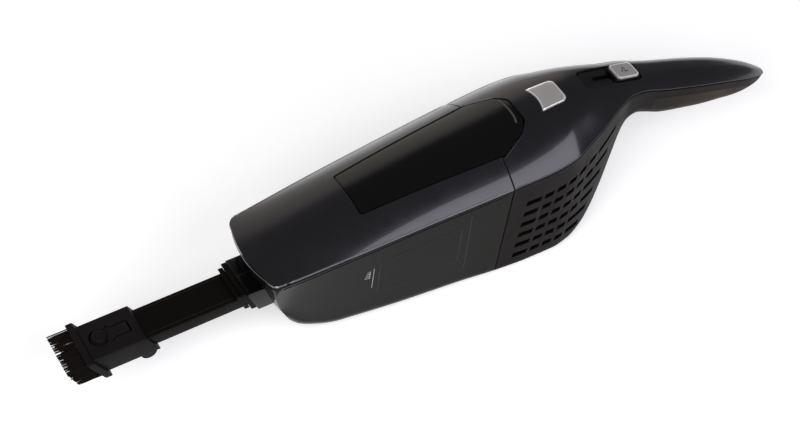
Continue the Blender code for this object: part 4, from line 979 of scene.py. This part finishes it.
# A dim room, with a warm, pale far wall that the crown's far half reflects.
room = {"dim": (0.115, 0.115, 0.12), "wall": (0.74, 0.69, 0.63), "towards": (0.0, 0.97, 0.25),
        "edge": (0.79, 0.93)}
world = bpy.data.worlds.new("studio")
world.use_nodes = True
skyNodes, skyLinks = world.node_tree.nodes, world.node_tree.links
heading = skyNodes.new("ShaderNodeTexCoord")
facing = skyNodes.new("ShaderNodeVectorMath")
facing.operation = "DOT_PRODUCT"
facing.inputs[1].default_value = room["towards"]
skyLinks.new(heading.outputs["Generated"], facing.inputs[0])
soften = skyNodes.new("ShaderNodeMapRange")
soften.interpolation_type = "SMOOTHSTEP"
soften.inputs["From Min"].default_value, soften.inputs["From Max"].default_value = room["edge"]
skyLinks.new(facing.outputs["Value"], soften.inputs["Value"])
sky = skyNodes.new("ShaderNodeMix")
sky.data_type = "RGBA"
sky.inputs["A"].default_value = (*room["dim"], 1)
sky.inputs["B"].default_value = (*room["wall"], 1)
skyLinks.new(soften.outputs["Result"], sky.inputs["Factor"])
skyLinks.new(sky.outputs["Result"], skyNodes["Background"].inputs["Color"])
bpy.context.scene.world = world


def softbox(name, place, target, size, power, colour=(1, 1, 1)):
    light = bpy.data.lights.new(name, "AREA")
    light.shape = "RECTANGLE"
    light.size, light.size_y = size
    light.energy = power
    light.color = colour
    made = bpy.data.objects.new(name, light)
    bpy.context.scene.collection.objects.link(made)
    made.location = place
    made.rotation_mode = "QUATERNION"
    made.rotation_quaternion = (Vector(target) - Vector(place)).to_track_quat("-Z", "Y")
    return made


softbox("nearBox", (0.45, -1.4, 1.25), (-0.02, 0, 0.1), (1.7, 0.8), 17, (0.91, 0.91, 1.0))
softbox("sideBox", (-1.7, -1.2, 2.0), (0, 0, 0.0), (1.5, 1.5), 46)

sight = {"place": (-0.5335, -0.8114, 1.1248), "azimuth": -29.8, "elevation": 48.6, "roll": 0.4, "lens": 83.25}
camera = bpy.data.cameras.new("studioCamera")
camera.lens = sight["lens"]
camera.sensor_width = 36.0
camera.clip_start, camera.clip_end = 0.05, 30
viewer = bpy.data.objects.new("studioCamera", camera)
bpy.context.scene.collection.objects.link(viewer)
az, el = math.radians(sight["azimuth"]), math.radians(sight["elevation"])
back = Vector((math.sin(az) * math.cos(el), -math.cos(az) * math.cos(el), math.sin(el)))
right = Vector((0, 0, 1)).cross(back).normalized()
up = back.cross(right)
turn = Matrix((right, up, back)).transposed().to_4x4()
roll = Matrix.Rotation(math.radians(sight["roll"]), 4, "Z")
viewer.matrix_world = Matrix.Translation(sight["place"]) @ turn @ roll
bpy.context.scene.camera = viewer
bpy.context.scene.view_settings.view_transform = "Standard"
print("stage")
